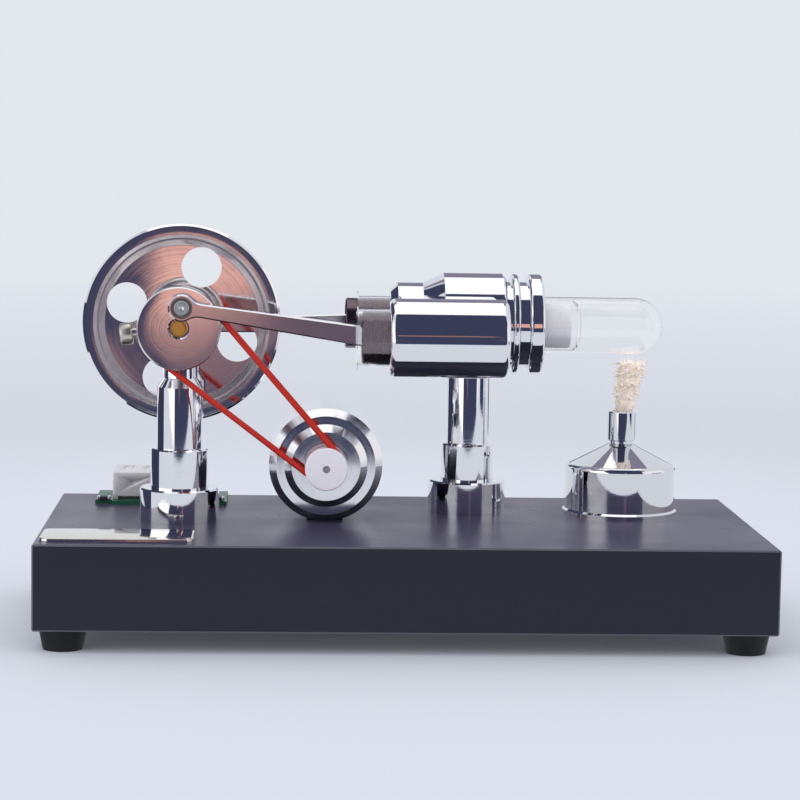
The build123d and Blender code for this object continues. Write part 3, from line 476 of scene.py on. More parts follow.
@dataclass(frozen=True)
class TurnedMetal(Finish):
    """Metal turned in a lathe: fine grooves round its axis, over a polish."""

    axis: TurningAxis = TurningAxis.ALONG_Y
    centre: Point = (0.0, 0.0, 0.0)   # a point on the axis, metres
    groove: float = 0.3        # spacing of the tool marks, mm
    depth: float = 0.002       # depth of the tool marks, mm
    anisotropy: float = 0.0
    haze: float = 6.0          # size of the polishing haze's patches, mm
    ring_share: float = 1.0    # 0 leaves the marks on cylindrical faces alone
    rim: float = 0.0           # radius at which the polished face ends, mm
    rolled: float = 1.6        # width of the band where polishing has rounded it off, mm
    drop: float = 0.05         # how far it has sunk at the rim, mm
    bands: tuple[Point, ...] = ()   # satin rings: inner and outer radius, mm, and roughness

    def constants(self) -> dict[str, object]:
        """Make it bare metal, with the lathe's grain along its grooves."""
        grain = {"Anisotropic": self.anisotropy, "Anisotropic Rotation": 0.25}
        return {"Metallic": 1.0, **(grain if self.anisotropy else {})}

    def pattern(self, tree: Tree, place: Socket) -> Feeds:
        """Add tool marks that run round the axis, a polishing haze, satin rings and a rolled rim.

        Args:
            tree: the material's node tree.
            place: the point on the piece, in metres.

        Returns:
            What feeds the shader, by the name of its input.
        """
        axis = Vector(self.axis.value)
        from_axis = add_node(tree, "VectorMath", {"operation": "SUBTRACT", 1: self.centre},
                             {0: place}).outputs["Vector"]
        along = add_node(tree, "VectorMath", {"operation": "DOT_PRODUCT", 1: axis},
                         {0: from_axis}).outputs["Value"]
        across = add_node(tree, "VectorMath",
                          {"operation": "MULTIPLY", 1: Vector((1.0, 1.0, 1.0)) - axis},
                          {0: from_axis}).outputs["Vector"]
        radius = add_node(tree, "VectorMath", {"operation": "LENGTH"}, {0: across}).outputs["Value"]
        profile = add_node(tree, "Math", {"operation": "MULTIPLY_ADD", 1: self.ring_share},
                           {0: radius, 2: along}).outputs["Value"]
        marks = add_node(tree, "TexNoise",
                         {"noise_dimensions": "1D", "Scale": per_metre(self.groove), "Detail": 3.0},
                         {"W": profile}).outputs["Fac"]
        patches = add_node(tree, "TexNoise",
                           {"Scale": per_metre(self.haze), "Detail": 4.0, "Roughness": 0.6},
                           {"Vector": place}).outputs["Fac"]
        mixed = add_node(tree, "Math", {"operation": "MULTIPLY"},
                         {0: marks, 1: patches}).outputs["Value"]
        gloss = add_node(tree, "MapRange", self.spread(low=0.12, high=0.42, least=0.6, most=1.5),
                         {"Value": mixed}).outputs["Result"]
        for inner, outer, satin in self.bands:
            inside = add_node(tree, "Math", {"operation": "COMPARE", 1: (inner + outer) / 2 * MM,
                                             2: (outer - inner) / 2 * MM},
                              {0: radius}).outputs["Value"]
            gloss = add_node(tree, "Mix", {"data_type": "FLOAT", 3: satin},
                             {0: inside, 2: gloss}).outputs[0]
        feeds, relief = {"Roughness": gloss}, {"Height": marks}
        if self.anisotropy:
            feeds["Tangent"] = add_node(tree, "VectorMath", {"operation": "CROSS_PRODUCT", 1: axis},
                                        {0: across}).outputs["Vector"]
        if self.rim:
            share = add_node(tree, "MapRange", {"From Min": (self.rim - self.rolled) * MM,
                                                "From Max": self.rim * MM},
                             {"Value": radius}).outputs["Result"]
            sunk = add_node(tree, "Math", {"operation": "POWER", 1: 2.0},
                            {0: share}).outputs["Value"]
            relief["Normal"] = add_node(tree, "Bump", {"invert": True, "Distance": self.drop * MM},
                                        {"Height": sunk}).outputs["Normal"]
        feeds["Normal"] = add_node(tree, "Bump", {"Distance": self.depth * MM},
                                   relief).outputs["Normal"]
        return feeds


@dataclass(frozen=True)
class DrawnMetal(Finish):
    """Metal brushed or rolled one way: long fine scratches along its grain."""

    grain: Point = (6.0, 0.15, 0.15)   # length and width of a scratch, mm
    depth: float = 0.002       # depth of a scratch, mm
    bare: float = 1.0          # share of bare metal; the rest is dulled by its oxide

    def constants(self) -> dict[str, object]:
        """Say how much of it is bare metal."""
        return {"Metallic": self.bare}

    def pattern(self, tree: Tree, place: Socket) -> Feeds:
        """Add scratches along the grain and a soft variation in gloss.

        Args:
            tree: the material's node tree.
            place: the point on the piece, in metres.

        Returns:
            What feeds the shader, by the name of its input.
        """
        stretched = add_node(tree, "Mapping", {"Scale": tuple(map(per_metre, self.grain))},
                             {"Vector": place}).outputs["Vector"]
        scratches = add_node(tree, "TexNoise", {"Scale": 1.0, "Detail": 3.0},
                             {"Vector": stretched}).outputs["Fac"]
        gloss = add_node(tree, "MapRange", self.spread(low=0.3, high=0.7, least=0.7, most=1.4),
                         {"Value": scratches})
        bump = add_node(tree, "Bump", {"Distance": self.depth * MM}, {"Height": scratches})
        return {"Roughness": gloss.outputs["Result"], "Normal": bump.outputs["Normal"]}


@dataclass(frozen=True)
class PowderCoat(Finish):
    """Fine-texture powder coat: a fine even grit, faint clouds and a painted highlight on its
    edges.
    """

    grit: float = 0.35         # real grit is near 0.1 mm, drawn coarser so that it shows
    depth: float = 0.004       # depth of the grit, mm
    cloud: float = 25.0        # size of its paler clouds, mm
    faded: str = "#252632"     # their colour
    painted_highlight_colour: str = "#55565f"    # the colour painted on its edges as a highlight
    flat: float = 0.9          # a face is an edge, and gets the painted highlight, where its normal's largest part is below this
    ior: float = 1.33          # low, so that it swallows most of a straight glance
    bloom: float = 0.2         # strength of its sheen at low angles
    bloom_width: float = 0.4   # and how far it spreads from there
    bloom_tint: str = "#b4a8dc"

    def constants(self) -> dict[str, object]:
        """Swallow most of a straight glance, and bloom pale lilac at low angles."""
        return {"IOR": self.ior, "Sheen Weight": self.bloom, "Sheen Roughness": self.bloom_width,
                "Sheen Tint": linear(self.bloom_tint)}

    def pattern(self, tree: Tree, place: Socket) -> Feeds:
        """Add the grit, a faint cloudiness, and a painted highlight on the edges.

        Args:
            tree: the material's node tree.
            place: the point on the piece, in metres.

        Returns:
            What feeds the shader, by the name of its input.
        """
        grit = add_node(tree, "TexNoise", {"Scale": per_metre(self.grit), "Detail": 2.0},
                        {"Vector": place}).outputs["Fac"]
        clouds = add_node(tree, "TexNoise", {"Scale": per_metre(self.cloud), "Detail": 5.0},
                          {"Vector": place}).outputs["Fac"]
        normal = add_node(tree, "NewGeometry").outputs["Normal"]
        facing = add_node(tree, "VectorMath", {"operation": "ABSOLUTE"}, {0: normal})
        parts = add_node(tree, "SeparateXYZ", {}, {"Vector": facing.outputs["Vector"]}).outputs
        larger = add_node(tree, "Math", {"operation": "MAXIMUM"},
                          {0: parts["X"], 1: parts["Y"]}).outputs["Value"]
        largest = add_node(tree, "Math", {"operation": "MAXIMUM"},
                           {0: larger, 1: parts["Z"]}).outputs["Value"]
        # Chamfers and rounds, whose normals lean off every axis, are marked for the painted
        # highlight.
        edge = add_node(tree, "Math", {"operation": "LESS_THAN", 1: self.flat},
                        {0: largest}).outputs["Value"]
        shade = add_node(tree, "Mix", {"data_type": "RGBA", FIRST: linear(self.colour),
                                       SECOND: linear(self.faded)}, {"Factor": clouds})
        # Mix the painted highlight colour onto those edges.
        painted_edge_colour = add_node(tree, "Mix", {"data_type": "RGBA", SECOND: linear(self.painted_highlight_colour)},
                         {"Factor": edge, FIRST: shade.outputs[MIXED]}).outputs[MIXED]
        gloss = add_node(tree, "MapRange", self.spread(low=0.3, high=0.7, least=0.85, most=1.15),
                         {"Value": clouds})
        bump = add_node(tree, "Bump", {"Distance": self.depth * MM}, {"Height": grit})
        return {"Base Color": painted_edge_colour, "Roughness": gloss.outputs["Result"],
                "Normal": bump.outputs["Normal"]}


@dataclass(frozen=True)
class Moulded(Finish):
    """Moulded rubber or plastic: a soft skin with the mould's fine texture."""

    texture: float = 0.4       # size of the skin's texture, mm
    depth: float = 0.01        # depth of the skin's texture, mm
    second: str = "#000000"    # the colour that it drifts to in patches
    patch: float = 12.0        # a patch's size, against the texture's
    ior: float = 1.5
    glow: float = 0.0          # share of the light that comes back from under the skin
    reach: float = 0.5         # how far in that light goes, mm
    passed: Point = (1.0, 0.4, 0.3)     # and its red, green and blue against that

    def constants(self) -> dict[str, object]:
        """Give it a plastic's gloss, and let some light through where it is milky."""
        milky = {"Subsurface Weight": self.glow, "Subsurface Radius": self.passed,
                 "Subsurface Scale": self.reach * MM}
        return {"IOR": self.ior, **(milky if self.glow else {})}

    def pattern(self, tree: Tree, place: Socket) -> Feeds:
        """Add the mould's texture and a slight drift in colour.

        Args:
            tree: the material's node tree.
            place: the point on the piece, in metres.

        Returns:
            What feeds the shader, by the name of its input.
        """
        skin = add_node(tree, "TexNoise", {"Scale": per_metre(self.texture), "Detail": 3.0},
                        {"Vector": place}).outputs["Fac"]
        patches = add_node(tree, "TexNoise",
                           {"Scale": per_metre(self.texture * self.patch), "Detail": 4.0},
                           {"Vector": place}).outputs["Fac"]
        drift = add_node(tree, "Mix", {"data_type": "RGBA", FIRST: linear(self.colour),
                                       SECOND: linear(self.second)}, {"Factor": patches})
        gloss = add_node(tree, "MapRange", self.spread(low=0.3, high=0.7, least=0.85, most=1.15),
                         {"Value": patches})
        bump = add_node(tree, "Bump", {"Distance": self.depth * MM}, {"Height": skin})
        return {"Base Color": drift.outputs[MIXED], "Roughness": gloss.outputs["Result"],
                "Normal": bump.outputs["Normal"]}


@dataclass(frozen=True)
class DrawnGlass(Finish):
    """Clear drawn glass: faint waves in the wall and a trace of handling haze."""

    ior: float = 1.47
    wave: float = 5.0          # length of the waves in the wall, mm
    depth: float = 0.001       # and their depth
    smear: float = 9.0         # size of the handling haze's patches, mm

    def constants(self) -> dict[str, object]:
        """Let all the light through."""
        return {"Transmission Weight": 1.0, "IOR": self.ior}

    def pattern(self, tree: Tree, place: Socket) -> Feeds:
        """Add the waves and the haze.

        Args:
            tree: the material's node tree.
            place: the point on the piece, in metres.

        Returns:
            What feeds the shader, by the name of its input.
        """
        waves = add_node(tree, "TexNoise", {"Scale": per_metre(self.wave), "Detail": 1.0},
                         {"Vector": place}).outputs["Fac"]
        haze = add_node(tree, "TexNoise", {"Scale": per_metre(self.smear), "Detail": 5.0},
                        {"Vector": place}).outputs["Fac"]
        gloss = add_node(tree, "MapRange", self.spread(low=0.45, high=0.75, least=0.0, most=1.0),
                         {"Value": haze})
        bump = add_node(tree, "Bump", {"Strength": 0.6, "Distance": self.depth * MM},
                        {"Height": waves})
        return {"Roughness": gloss.outputs["Result"], "Normal": bump.outputs["Normal"]}


@dataclass(frozen=True)
class Fibrous(Finish):
    """Spun or felted fibre: fine threads in two tones with a soft sheen."""

    second: str = "#ffffff"    # the threads' other tone
    thread: Point = (0.25, 0.25, 1.2)   # a fibre's width and length, mm
    depth: float = 0.05        # depth of the threads' relief, mm
    sheen: float = 0.3
    glow: float = 0.0          # share of the light that comes back from within
    reach: float = 1.2         # how far in that light goes, mm
    passed: Point = (1.0, 0.8, 0.6)     # and its red, green and blue against that

    def constants(self) -> dict[str, object]:
        """Give it a soft bloom, and let light through where it is loose."""
        loose = {"Subsurface Weight": self.glow, "Subsurface Radius": self.passed,
                 "Subsurface Scale": self.reach * MM}
        return {"Sheen Weight": self.sheen, "Sheen Roughness": 0.5, **(loose if self.glow else {})}

    def pattern(self, tree: Tree, place: Socket) -> Feeds:
        """Add the fibres' two tones and their relief.

        Args:
            tree: the material's node tree.
            place: the point on the piece, in metres.

        Returns:
            What feeds the shader, by the name of its input.
        """
        stretched = add_node(tree, "Mapping", {"Scale": tuple(map(per_metre, self.thread))},
                             {"Vector": place}).outputs["Vector"]
        fibres = add_node(tree, "TexNoise", {"Scale": 1.0, "Detail": 5.0, "Distortion": 0.6},
                          {"Vector": stretched}).outputs["Fac"]
        tone = add_node(tree, "MapRange", {"From Min": 0.35, "From Max": 0.65},
                        {"Value": fibres}).outputs["Result"]
        tones = add_node(tree, "Mix", {"data_type": "RGBA", FIRST: linear(self.colour),
                                       SECOND: linear(self.second)}, {"Factor": tone})
        bump = add_node(tree, "Bump", {"Distance": self.depth * MM}, {"Height": fibres})
        return {"Base Color": tones.outputs[MIXED], "Normal": bump.outputs["Normal"]}


# The middles of the turned pieces, which their tool marks run round.
SHAFT = middle("crank_shaft")
DRUM = middle("generator_housing")
POWER = middle("power_piston")
HOT = middle("hot_tube")
BURNER = middle("burner_tank")

# Fine-texture black powder coat: even and matt from the front, a grey sheen at low angles.
BASE_COAT = PowderCoat("fine_texture_black_powder_coat", "#21222e", 0.3)
# Vulcanised rubber: almost black, no highlight, a slightly dusty skin.
FOOT_RUBBER = Moulded("moulded_black_rubber", "#0a0a12", 0.66, texture=0.5, second="#111119",
                      ior=1.4)
# Mirror-polished aluminium: it shows its surroundings, with a breath of haze and lathe marks.
BLOCK_ALUMINIUM = TurnedMetal("mirror_polished_aluminium_block", "#e9e9ee", 0.05,
                              TurningAxis.ALONG_X, tuple(POWER), groove=0.4, depth=0.0004,
                              ring_share=0.0)
HOT_END_ALUMINIUM = replace(BLOCK_ALUMINIUM, name="mirror_polished_aluminium_hot_end",
                            centre=tuple(HOT), groove=0.3, ring_share=1.0)
CRANK_POST_ALUMINIUM = replace(BLOCK_ALUMINIUM, name="mirror_polished_aluminium_crank_post",
                               axis=TurningAxis.UPRIGHT, centre=tuple(middle("crank_post")),
                               depth=0.0006, ring_share=1.0)
CYLINDER_POST_ALUMINIUM = replace(CRANK_POST_ALUMINIUM,
                                  name="mirror_polished_aluminium_cylinder_post",
                                  centre=tuple(middle("cylinder_post")))
# Face-turned aluminium: a soft mirror whose tool rings break each reflected edge into arcs.
DISC_ALUMINIUM = TurnedMetal("face_turned_aluminium_disc", "#efebec", 0.07, TurningAxis.ALONG_Y,
                             tuple(SHAFT), groove=0.4, depth=0.0009, rim=9.9, rolled=2.4,
                             drop=0.012, bands=((9.9, 10.6, 0.3),))
FLYWHEEL_ALUMINIUM = TurnedMetal("face_turned_aluminium_flywheel", "#f2eeef", 0.07,
                                 TurningAxis.ALONG_Y, tuple(SHAFT), groove=0.6, depth=0.0014,
                                 rim=24.6, rolled=1.8, drop=0.02, bands=((19.5, 22.4, 0.27),))
DRUM_ALUMINIUM = TurnedMetal("turned_aluminium_drum", "#e6e6ea", 0.08, TurningAxis.ALONG_Y,
                             tuple(DRUM), groove=0.35, depth=0.001, anisotropy=0.4,
                             bands=((12.5, 14.3, 0.14), (8.6, 10.4, 0.12)))
# Polished flat bar: a calm mirror with hair-fine lines along the rod.
ROD_ALUMINIUM = DrawnMetal("polished_aluminium_bar", "#d9d7dc", 0.09, grain=(8.0, 0.2, 0.2),
                           depth=0.0006)
# Ground bearing steel in the rods' eyes: a dull warm grey with tight rings.
BEARING_STEEL = TurnedMetal("ground_bearing_steel", "#a0958f", 0.5, TurningAxis.ALONG_Y,
                            tuple(middle("power_rod_bearing")), groove=0.25, depth=0.002)
# Bright turned crank pins: pale, with tool rings that spread every highlight.
PIN_STEEL = TurnedMetal("turned_bright_steel_pin", "#e2e4e4", 0.5, TurningAxis.ALONG_Y,
                        tuple(middle("power_crank_pin")), groove=0.25, depth=0.003)
# The same bearing steel round the shaft, clean: cool grey.
SHAFT_BEARING_STEEL = TurnedMetal("ground_bearing_steel_on_shaft", "#a9abb0", 0.2,
                                  TurningAxis.ALONG_Y, tuple(SHAFT), groove=0.25, depth=0.002)
# Ground silver-steel rod: fine rings round it, a long soft highlight.
ROD_STEEL = TurnedMetal("ground_silver_steel_rod", "#a9abb0", 0.2, TurningAxis.ALONG_X, tuple(HOT),
                        groove=0.3, depth=0.001)
# Fine-ground dark steel: a warm grey with soft highlights drawn along the piston.
PISTON_STEEL = TurnedMetal("ground_dark_steel", "#6b5c63", 0.26, TurningAxis.ALONG_X, tuple(POWER),
                           groove=0.5, depth=0.001, anisotropy=0.3)
GUIDE_STEEL = replace(PISTON_STEEL, name="ground_dark_steel_guide", centre=tuple(HOT))
# Turned brass: warm yellow with rings on its sawn end.
SHAFT_BRASS = TurnedMetal("turned_brass", "#ffba62", 0.42, TurningAxis.ALONG_Y, tuple(SHAFT),
                          groove=0.3, depth=0.005)
BUSH_BRASS = TurnedMetal("turned_brass_bush", "#c08f45", 0.24, TurningAxis.ALONG_Y, tuple(DRUM),
                         groove=0.3, depth=0.004)
# Nickel-plated steel screws: bright, slightly warm.
SCREW_STEEL = TurnedMetal("nickel_plated_steel_screw", "#cfcac0", 0.3, TurningAxis.ALONG_X,
                          tuple(middle("crank_set_screw")), groove=0.4, depth=0.002)
# Polished stainless plate: almost a mirror, warm white.
PLATE_STEEL = DrawnMetal("polished_stainless_plate", "#e8e2d8", 0.1, grain=(9.0, 0.2, 0.2),
                         depth=0.0006)
# Zinc-plated can of the generator's motor: cloudy, blue-grey.
CAN_STEEL = TurnedMetal("zinc_plated_can", "#9fa3a9", 0.32, TurningAxis.ALONG_Y, tuple(DRUM),
                        groove=0.5, depth=0.003)
# Spun mirror stainless steel of the burner: a hard clear mirror.
BURNER_STEEL = TurnedMetal("spun_mirror_stainless_steel", "#e4e4e7", 0.04, TurningAxis.UPRIGHT,
                           tuple(BURNER), groove=0.5, depth=0.0004)
# Drawn borosilicate glass: near invisible but for its edges.
TUBE_GLASS = DrawnGlass("drawn_borosilicate_glass", "#ffffff", 0.05)
CYLINDER_GLASS = DrawnGlass("ground_cylinder_glass", "#ffffff", 0.05, wave=7.0)
# Thin blown glass of the displacer: it bends the light behind it far less than a thick wall does.
DISPLACER_GLASS = DrawnGlass("thin_blown_glass", "#ffffff", 0.04, ior=1.16)
# Felted ceramic fibre: chalky pale lilac-grey, laid round the displacer.
PACKING = Fibrous("felted_ceramic_fibre", "#e2dfe4", 0.9, second="#ebe9ed",
                  thread=(0.8, 0.3, 0.3), depth=0.02, sheen=0.1)
# Turned aluminium plug inside the displacer.
PLUG_ALUMINIUM = TurnedMetal("turned_aluminium_plug", "#b9bbbf", 0.25, TurningAxis.ALONG_X,
                             tuple(HOT), groove=0.4, depth=0.003)
# Silicone seal: a soft brick red.
SEAL_SILICONE = Moulded("moulded_red_silicone_seal", "#a84038", 0.5, second="#8f332c", ior=1.43)
# Silicone belt: strong red, waxy, a little dusty.
BELT_SILICONE = Moulded("extruded_red_silicone_cord", "#cf2c1c", 0.36, texture=0.25, depth=0.004,
                        second="#b92116", ior=1.43, glow=0.15)
# Black nylon of the generator's rear cover and the socket's insulator.
COVER_PLASTIC = Moulded("moulded_black_nylon", "#1b1b1e", 0.45, texture=0.3, second="#232326")
# White nylon pulley: milky, with a faint lilac cast.
PULLEY_NYLON = Moulded("moulded_white_nylon", "#f3eff7", 0.42, texture=0.3, depth=0.004,
                       second="#eeeaf3", ior=1.53, glow=0.3)
# Green solder mask over woven glass fibre.
BOARD_MASK = Moulded("green_solder_mask_on_glass_fibre", "#1f6148", 0.35, texture=0.5, depth=0.006,
                     second="#1a5540")
# Rolled tin-plated steel: soft pale grey, cloudy.
USB_TIN = DrawnMetal("rolled_tin_plated_steel", "#e6e2e6", 0.5, grain=(5.0, 0.4, 0.4), depth=0.002,
                     bare=0.35)
# Chip resin, and the solder and tin of its ends.
CHIP_RESIN = Moulded("moulded_black_chip_resin", "#26262a", 0.5, texture=0.3, second="#303034")
SOLDER = TurnedMetal("bright_tin_solder", "#e6e6e8", 0.22, TurningAxis.UPRIGHT,
                     tuple(middle("circuit_board")), groove=0.8, depth=0.004, ring_share=0.0)
# Gold-flashed spring contacts.
CONTACT_GOLD = DrawnMetal("gold_flashed_bronze", "#c7a35a", 0.22, grain=(3.0, 0.2, 0.2),
                          depth=0.001)
# Loose cotton: cream and tan fibres with a soft bloom.
COTTON = Fibrous("spun_cotton_fibre", "#f8e0cb", 0.95, second="#fff7ee", thread=(0.3, 0.3, 0.9),
                 depth=0.05, sheen=0.5, glow=0.5)


# ---- Sub-assemblies ------------------------------------------------------------------------------
@dataclass
class SubAssembly:
    """What every sub-assembly does: dress its CAD nodes and hand over its new pieces."""

    FINISHES: ClassVar[dict[str, Finish]] = {}

    def dress(self) -> None:
        """Give this sub-assembly's CAD nodes their finishes."""
        for name, finish in self.FINISHES.items():
            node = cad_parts[name]
            node.data.materials.clear()
            node.data.materials.append(finish.material())
            if isinstance(finish, DrawnGlass):   # thin glass throws next to no shadow
                node.visible_shadow = node.visible_diffuse = False

    def hand_over(self, piece: Piece, finish: Finish, body: str, slot: str,
                  *stands_for: str) -> None:
        """Finish a new piece, set it on its body and hide the CAD nodes that it stands for.

        Args:
            piece: the new piece.
            finish: its finish.
            body: the body that it rides on.
            slot: the record's material slot; not used.
            *stands_for: the CAD nodes that it replaces.
        """
        piece.data.materials.clear()
        piece.data.materials.append(finish.material())
        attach(piece, body)
        if stands_for:
            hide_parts(*stands_for)
        LOG.info("%s: %d faces on %s", piece.name, len(piece.data.polygons), body)


@dataclass
class EngineBase(SubAssembly):
    """The coated base on its rubber feet, with its bare name plate."""

    plate_corner: float = 2.4       # radius of the plate's corners, mm
    plate_edge: float = 0.3         # rounding of its punched edge, mm

    FINISHES: ClassVar[dict[str, Finish]] = {
        "base": BASE_COAT, "rubber_feet": FOOT_RUBBER, "foot_screws": SCREW_STEEL,
        "post_screws": SCREW_STEEL,
    }

    def build(self) -> None:
        """Dress the base and make its name plate."""
        self.dress()
        self.hand_over(self.plate(), PLATE_STEEL, "frame", "plate_steel", "nameplate")

    def plate(self) -> Piece:
        """Punch the name plate: a thin sheet with round corners and a rounded edge."""
        low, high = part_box("nameplate")
        piece = open_block("name_plate_sheet", low, high)
        select_edges(piece, lambda one, two: abs(one.z - two.z) > MM / 2)
        bpy.ops.mesh.bevel(offset=self.plate_corner * MM, segments=8)
        select_edges(piece, lambda one, two: min(one.z, two.z) > high.z - NEAR)
        bpy.ops.mesh.bevel(offset=self.plate_edge * MM, segments=4)
        close_up(piece)
        return piece


@dataclass
class CrankAssembly(SubAssembly):
    """The crank post, shaft, disc and flywheel, with their set screw."""

    screw_neck: float = 11.6        # radius at which the set screw's head starts, mm
    screw_root: float = 2.2         # and where its thread ends, above the shaft
    screw_thread: float = 1.3       # thread's radius
    screw_head: float = 2.7         # head's radius
    screw_length: float = 3.05      # head's length
    screw_chamfer: float = 0.3      # of the head's under side
    screw_round: float = 0.5        # how far its outer edge is rounded in
    screw_bulge: float = 0.15       # and how far that edge stays in at the middle of its round
    screw_sides: int = 48
    screw_socket: float = 1.45      # corner radius of its hexagon socket
    socket_depth: float = 1.8

    FINISHES: ClassVar[dict[str, Finish]] = {
        "crank_post": CRANK_POST_ALUMINIUM, "crank_disc": DISC_ALUMINIUM,
        "flywheel": FLYWHEEL_ALUMINIUM, "crank_shaft": SHAFT_BRASS,
        "front_shaft_bearing": SHAFT_BEARING_STEEL, "rear_shaft_bearing": SHAFT_BEARING_STEEL,
        "flywheel_set_screw": SCREW_STEEL,
    }

    def build(self) -> None:
        """Dress the crank and make its set screw."""
        self.dress()
        self.hand_over(self.set_screw(), SCREW_STEEL, "crankshaft", "screw_steel",
                       "crank_set_screw")

    def set_screw(self) -> Piece:
        """Turn the cap screw that holds the disc on its shaft, with its hexagon socket."""
        place = middle("crank_set_screw")
        centre = Vector((SHAFT.x, place.y, SHAFT.z))
        outwards = (place - centre).normalized()
        seat, top, rim = self.screw_neck, self.screw_neck + self.screw_length, self.screw_head
        chamfer, edge, bulge = self.screw_chamfer, self.screw_round, self.screw_bulge
        piece = turned("crank_set_cap_screw", (
            (self.screw_thread, self.screw_root), (self.screw_thread, seat), (rim - chamfer, seat),
            (rim, seat + chamfer), (rim, top - edge), (rim - bulge, top - bulge),
            (rim - edge, top)), centre, outwards, self.screw_sides)
        key = turned("hexagon_key", (
            (self.screw_socket, top - self.socket_depth), (self.screw_socket, top + 1.0)),
            centre, outwards, sides=6)
        cut(piece, key)
        return piece


@dataclass
class Linkage(SubAssembly):
    """The two connecting rods with their bearings and crank pins, and their pistons."""

    ring_outer: float = 2.65        # bearing's outer radius, mm
    ring_inner: float = 1.25        # its bore
    race: float = 0.4               # width of its two races
    shield_depth: float = 0.22      # how far the shield lies below them
    edge: float = 0.1               # its edges' rounding
    journal: float = 1.25           # crank pin's radius in its bearing
    pin_head: float = 1.8           # crank pin's head
    head_length: float = 0.5
    journal_edge: float = 0.15      # chamfer of the journal's end
    head_edge: float = 0.12         # and of its head
    head_face: Steps = (            # the ring and dimple in its head, by radius and depth
        (1.25, 0.0), (1.15, 0.12), (0.95, 0.12), (0.85, 0.0), (0.6, 0.0), (0.35, 0.18),
        (0.08, 0.3))
    sides: int = 64

    FINISHES: ClassVar[dict[str, Finish]] = {
        "power_rod": ROD_ALUMINIUM, "displacer_link": ROD_ALUMINIUM, "power_piston": PISTON_STEEL,
        "guide_piston": GUIDE_STEEL, "power_gudgeon_pin": PISTON_STEEL,
        "guide_gudgeon_pin": GUIDE_STEEL, "displacer_rod": ROD_STEEL,
    }

    def build(self) -> None:
        """Dress the rods and pistons and make their ring bearings and crank pins.

        Each linkage is opened at its crank pin, which stays in its rod's bearing.
        """
        self.dress()
        for rod, body, pin, side in (
                ("power_rod", "power_rod_body", "power_crank_pin", -1.0),
                ("displacer_link", "displacer_link_body", "displacer_crank_pin", 1.0)):
            bearing = rod + "_bearing"
            self.hand_over(self.ring_bearing(bearing), BEARING_STEEL, body, "bearing_steel",
                           bearing)
            self.hand_over(self.pin(pin, side), PIN_STEEL, body, "screw_steel", pin)

    def ring_bearing(self, node: str) -> Piece:
        """Turn a shielded ring bearing: two races with a sunk shield between them.

        Args:
            node: the CAD bearing that it stands for.

        Returns:
            The finished bearing.
        """
        low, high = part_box(node)
        width = (high.y - low.y) / MM
        centre = middle(node)
        centre.y = low.y
        outer, inner = self.ring_outer, self.ring_inner
        front = ((inner, 0.0), (inner + self.race, 0.0),
                 (inner + self.race + self.edge, self.shield_depth),
                 (outer - self.race - self.edge, self.shield_depth), (outer - self.race, 0.0),
                 (outer - self.edge, 0.0), (outer, self.edge))
        rear = tuple((radius, width - depth) for radius, depth in reversed(front))
        return turned(node.replace("bearing", "shielded_bearing"), (*front, *rear, front[0]),
                      centre, REARWARDS, self.sides)

    def pin(self, node: str, side: float) -> Piece:
        """Turn a shouldered crank pin with rings and a centre dimple in its head.

        Args:
            node: the CAD pin that it stands for.
            side: -1 for a pin whose head faces the front, 1 for the rear.

        Returns:
            The finished pin.
        """
        low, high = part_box(node)
        centre = middle(node)
        centre.y = high.y if side < 0 else low.y
        head, face = self.pin_head, (high.y - low.y) / MM
        shoulder = face - self.head_length
        return turned(node.replace("crank_pin", "shoulder_pin"), (
            (self.journal - self.journal_edge, 0.0), (self.journal, self.journal_edge),
            (self.journal, shoulder), (head, shoulder), (head, face - self.head_edge),
            (head - self.head_edge, face),
            *((radius, face - depth) for radius, depth in self.head_face)),
            centre, REARWARDS * side, self.sides)


@dataclass
class Generator(SubAssembly):
    """The drum with its motor and pulley, and the belt that drives it."""

    belt_sides: int = 16
    disc_steps: int = 48            # how many lengths the belt bends round the disc in
    pulley_steps: int = 20          # and round the pulley

    FINISHES: ClassVar[dict[str, Finish]] = {
        "generator_housing": DRUM_ALUMINIUM, "generator_pad": FOOT_RUBBER,
        "generator_screw": SCREW_STEEL, "generator_motor": CAN_STEEL,
        "generator_rear_cover": COVER_PLASTIC, "generator_shaft": ROD_STEEL,
        "generator_bush": BUSH_BRASS, "generator_terminals": BUSH_BRASS,
        "generator_pulley": PULLEY_NYLON,
    }

    def build(self) -> None:
        """Dress the generator and make its belt."""
        self.dress()
        self.hand_over(self.belt(), BELT_SILICONE, "frame", "belt_silicone", "drive_belt")

    def belt(self) -> Piece:
        """Draw the round belt along its two straight runs and spin it round both wheels."""
        low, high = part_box("drive_belt")
        thick, level = (high.y - low.y) / 2, (high.y + low.y) / 2
        disc = Vector((SHAFT.x, level, SHAFT.z))
        pulley = Vector((DRUM.x, level, DRUM.z))
        wide, narrow = disc.x - low.x - thick, pulley.z - low.z - thick
        away = pulley - disc
        heading = math.atan2(away.z, away.x)
        opening = math.acos((wide - narrow) / away.length)
        above, below = (Vector((math.cos(angle), 0.0, math.sin(angle)))
                        for angle in (heading + opening, heading - opening))
        run = (pulley + above * narrow) - (disc + above * wide)
        piece = open_ring("round_drive_belt", self.belt_sides, thick, disc + above * wide, run)
        draw_ring(run)
        bpy.ops.mesh.spin(steps=self.pulley_steps, angle=2 * opening, center=pulley, axis=REARWARDS)
        draw_ring((disc + below * wide) - (pulley + below * narrow))
        bpy.ops.mesh.spin(steps=self.disc_steps, angle=2 * (math.pi - opening), center=disc,
                          axis=REARWARDS)
        close_up(piece, angle=60.0)
        return piece


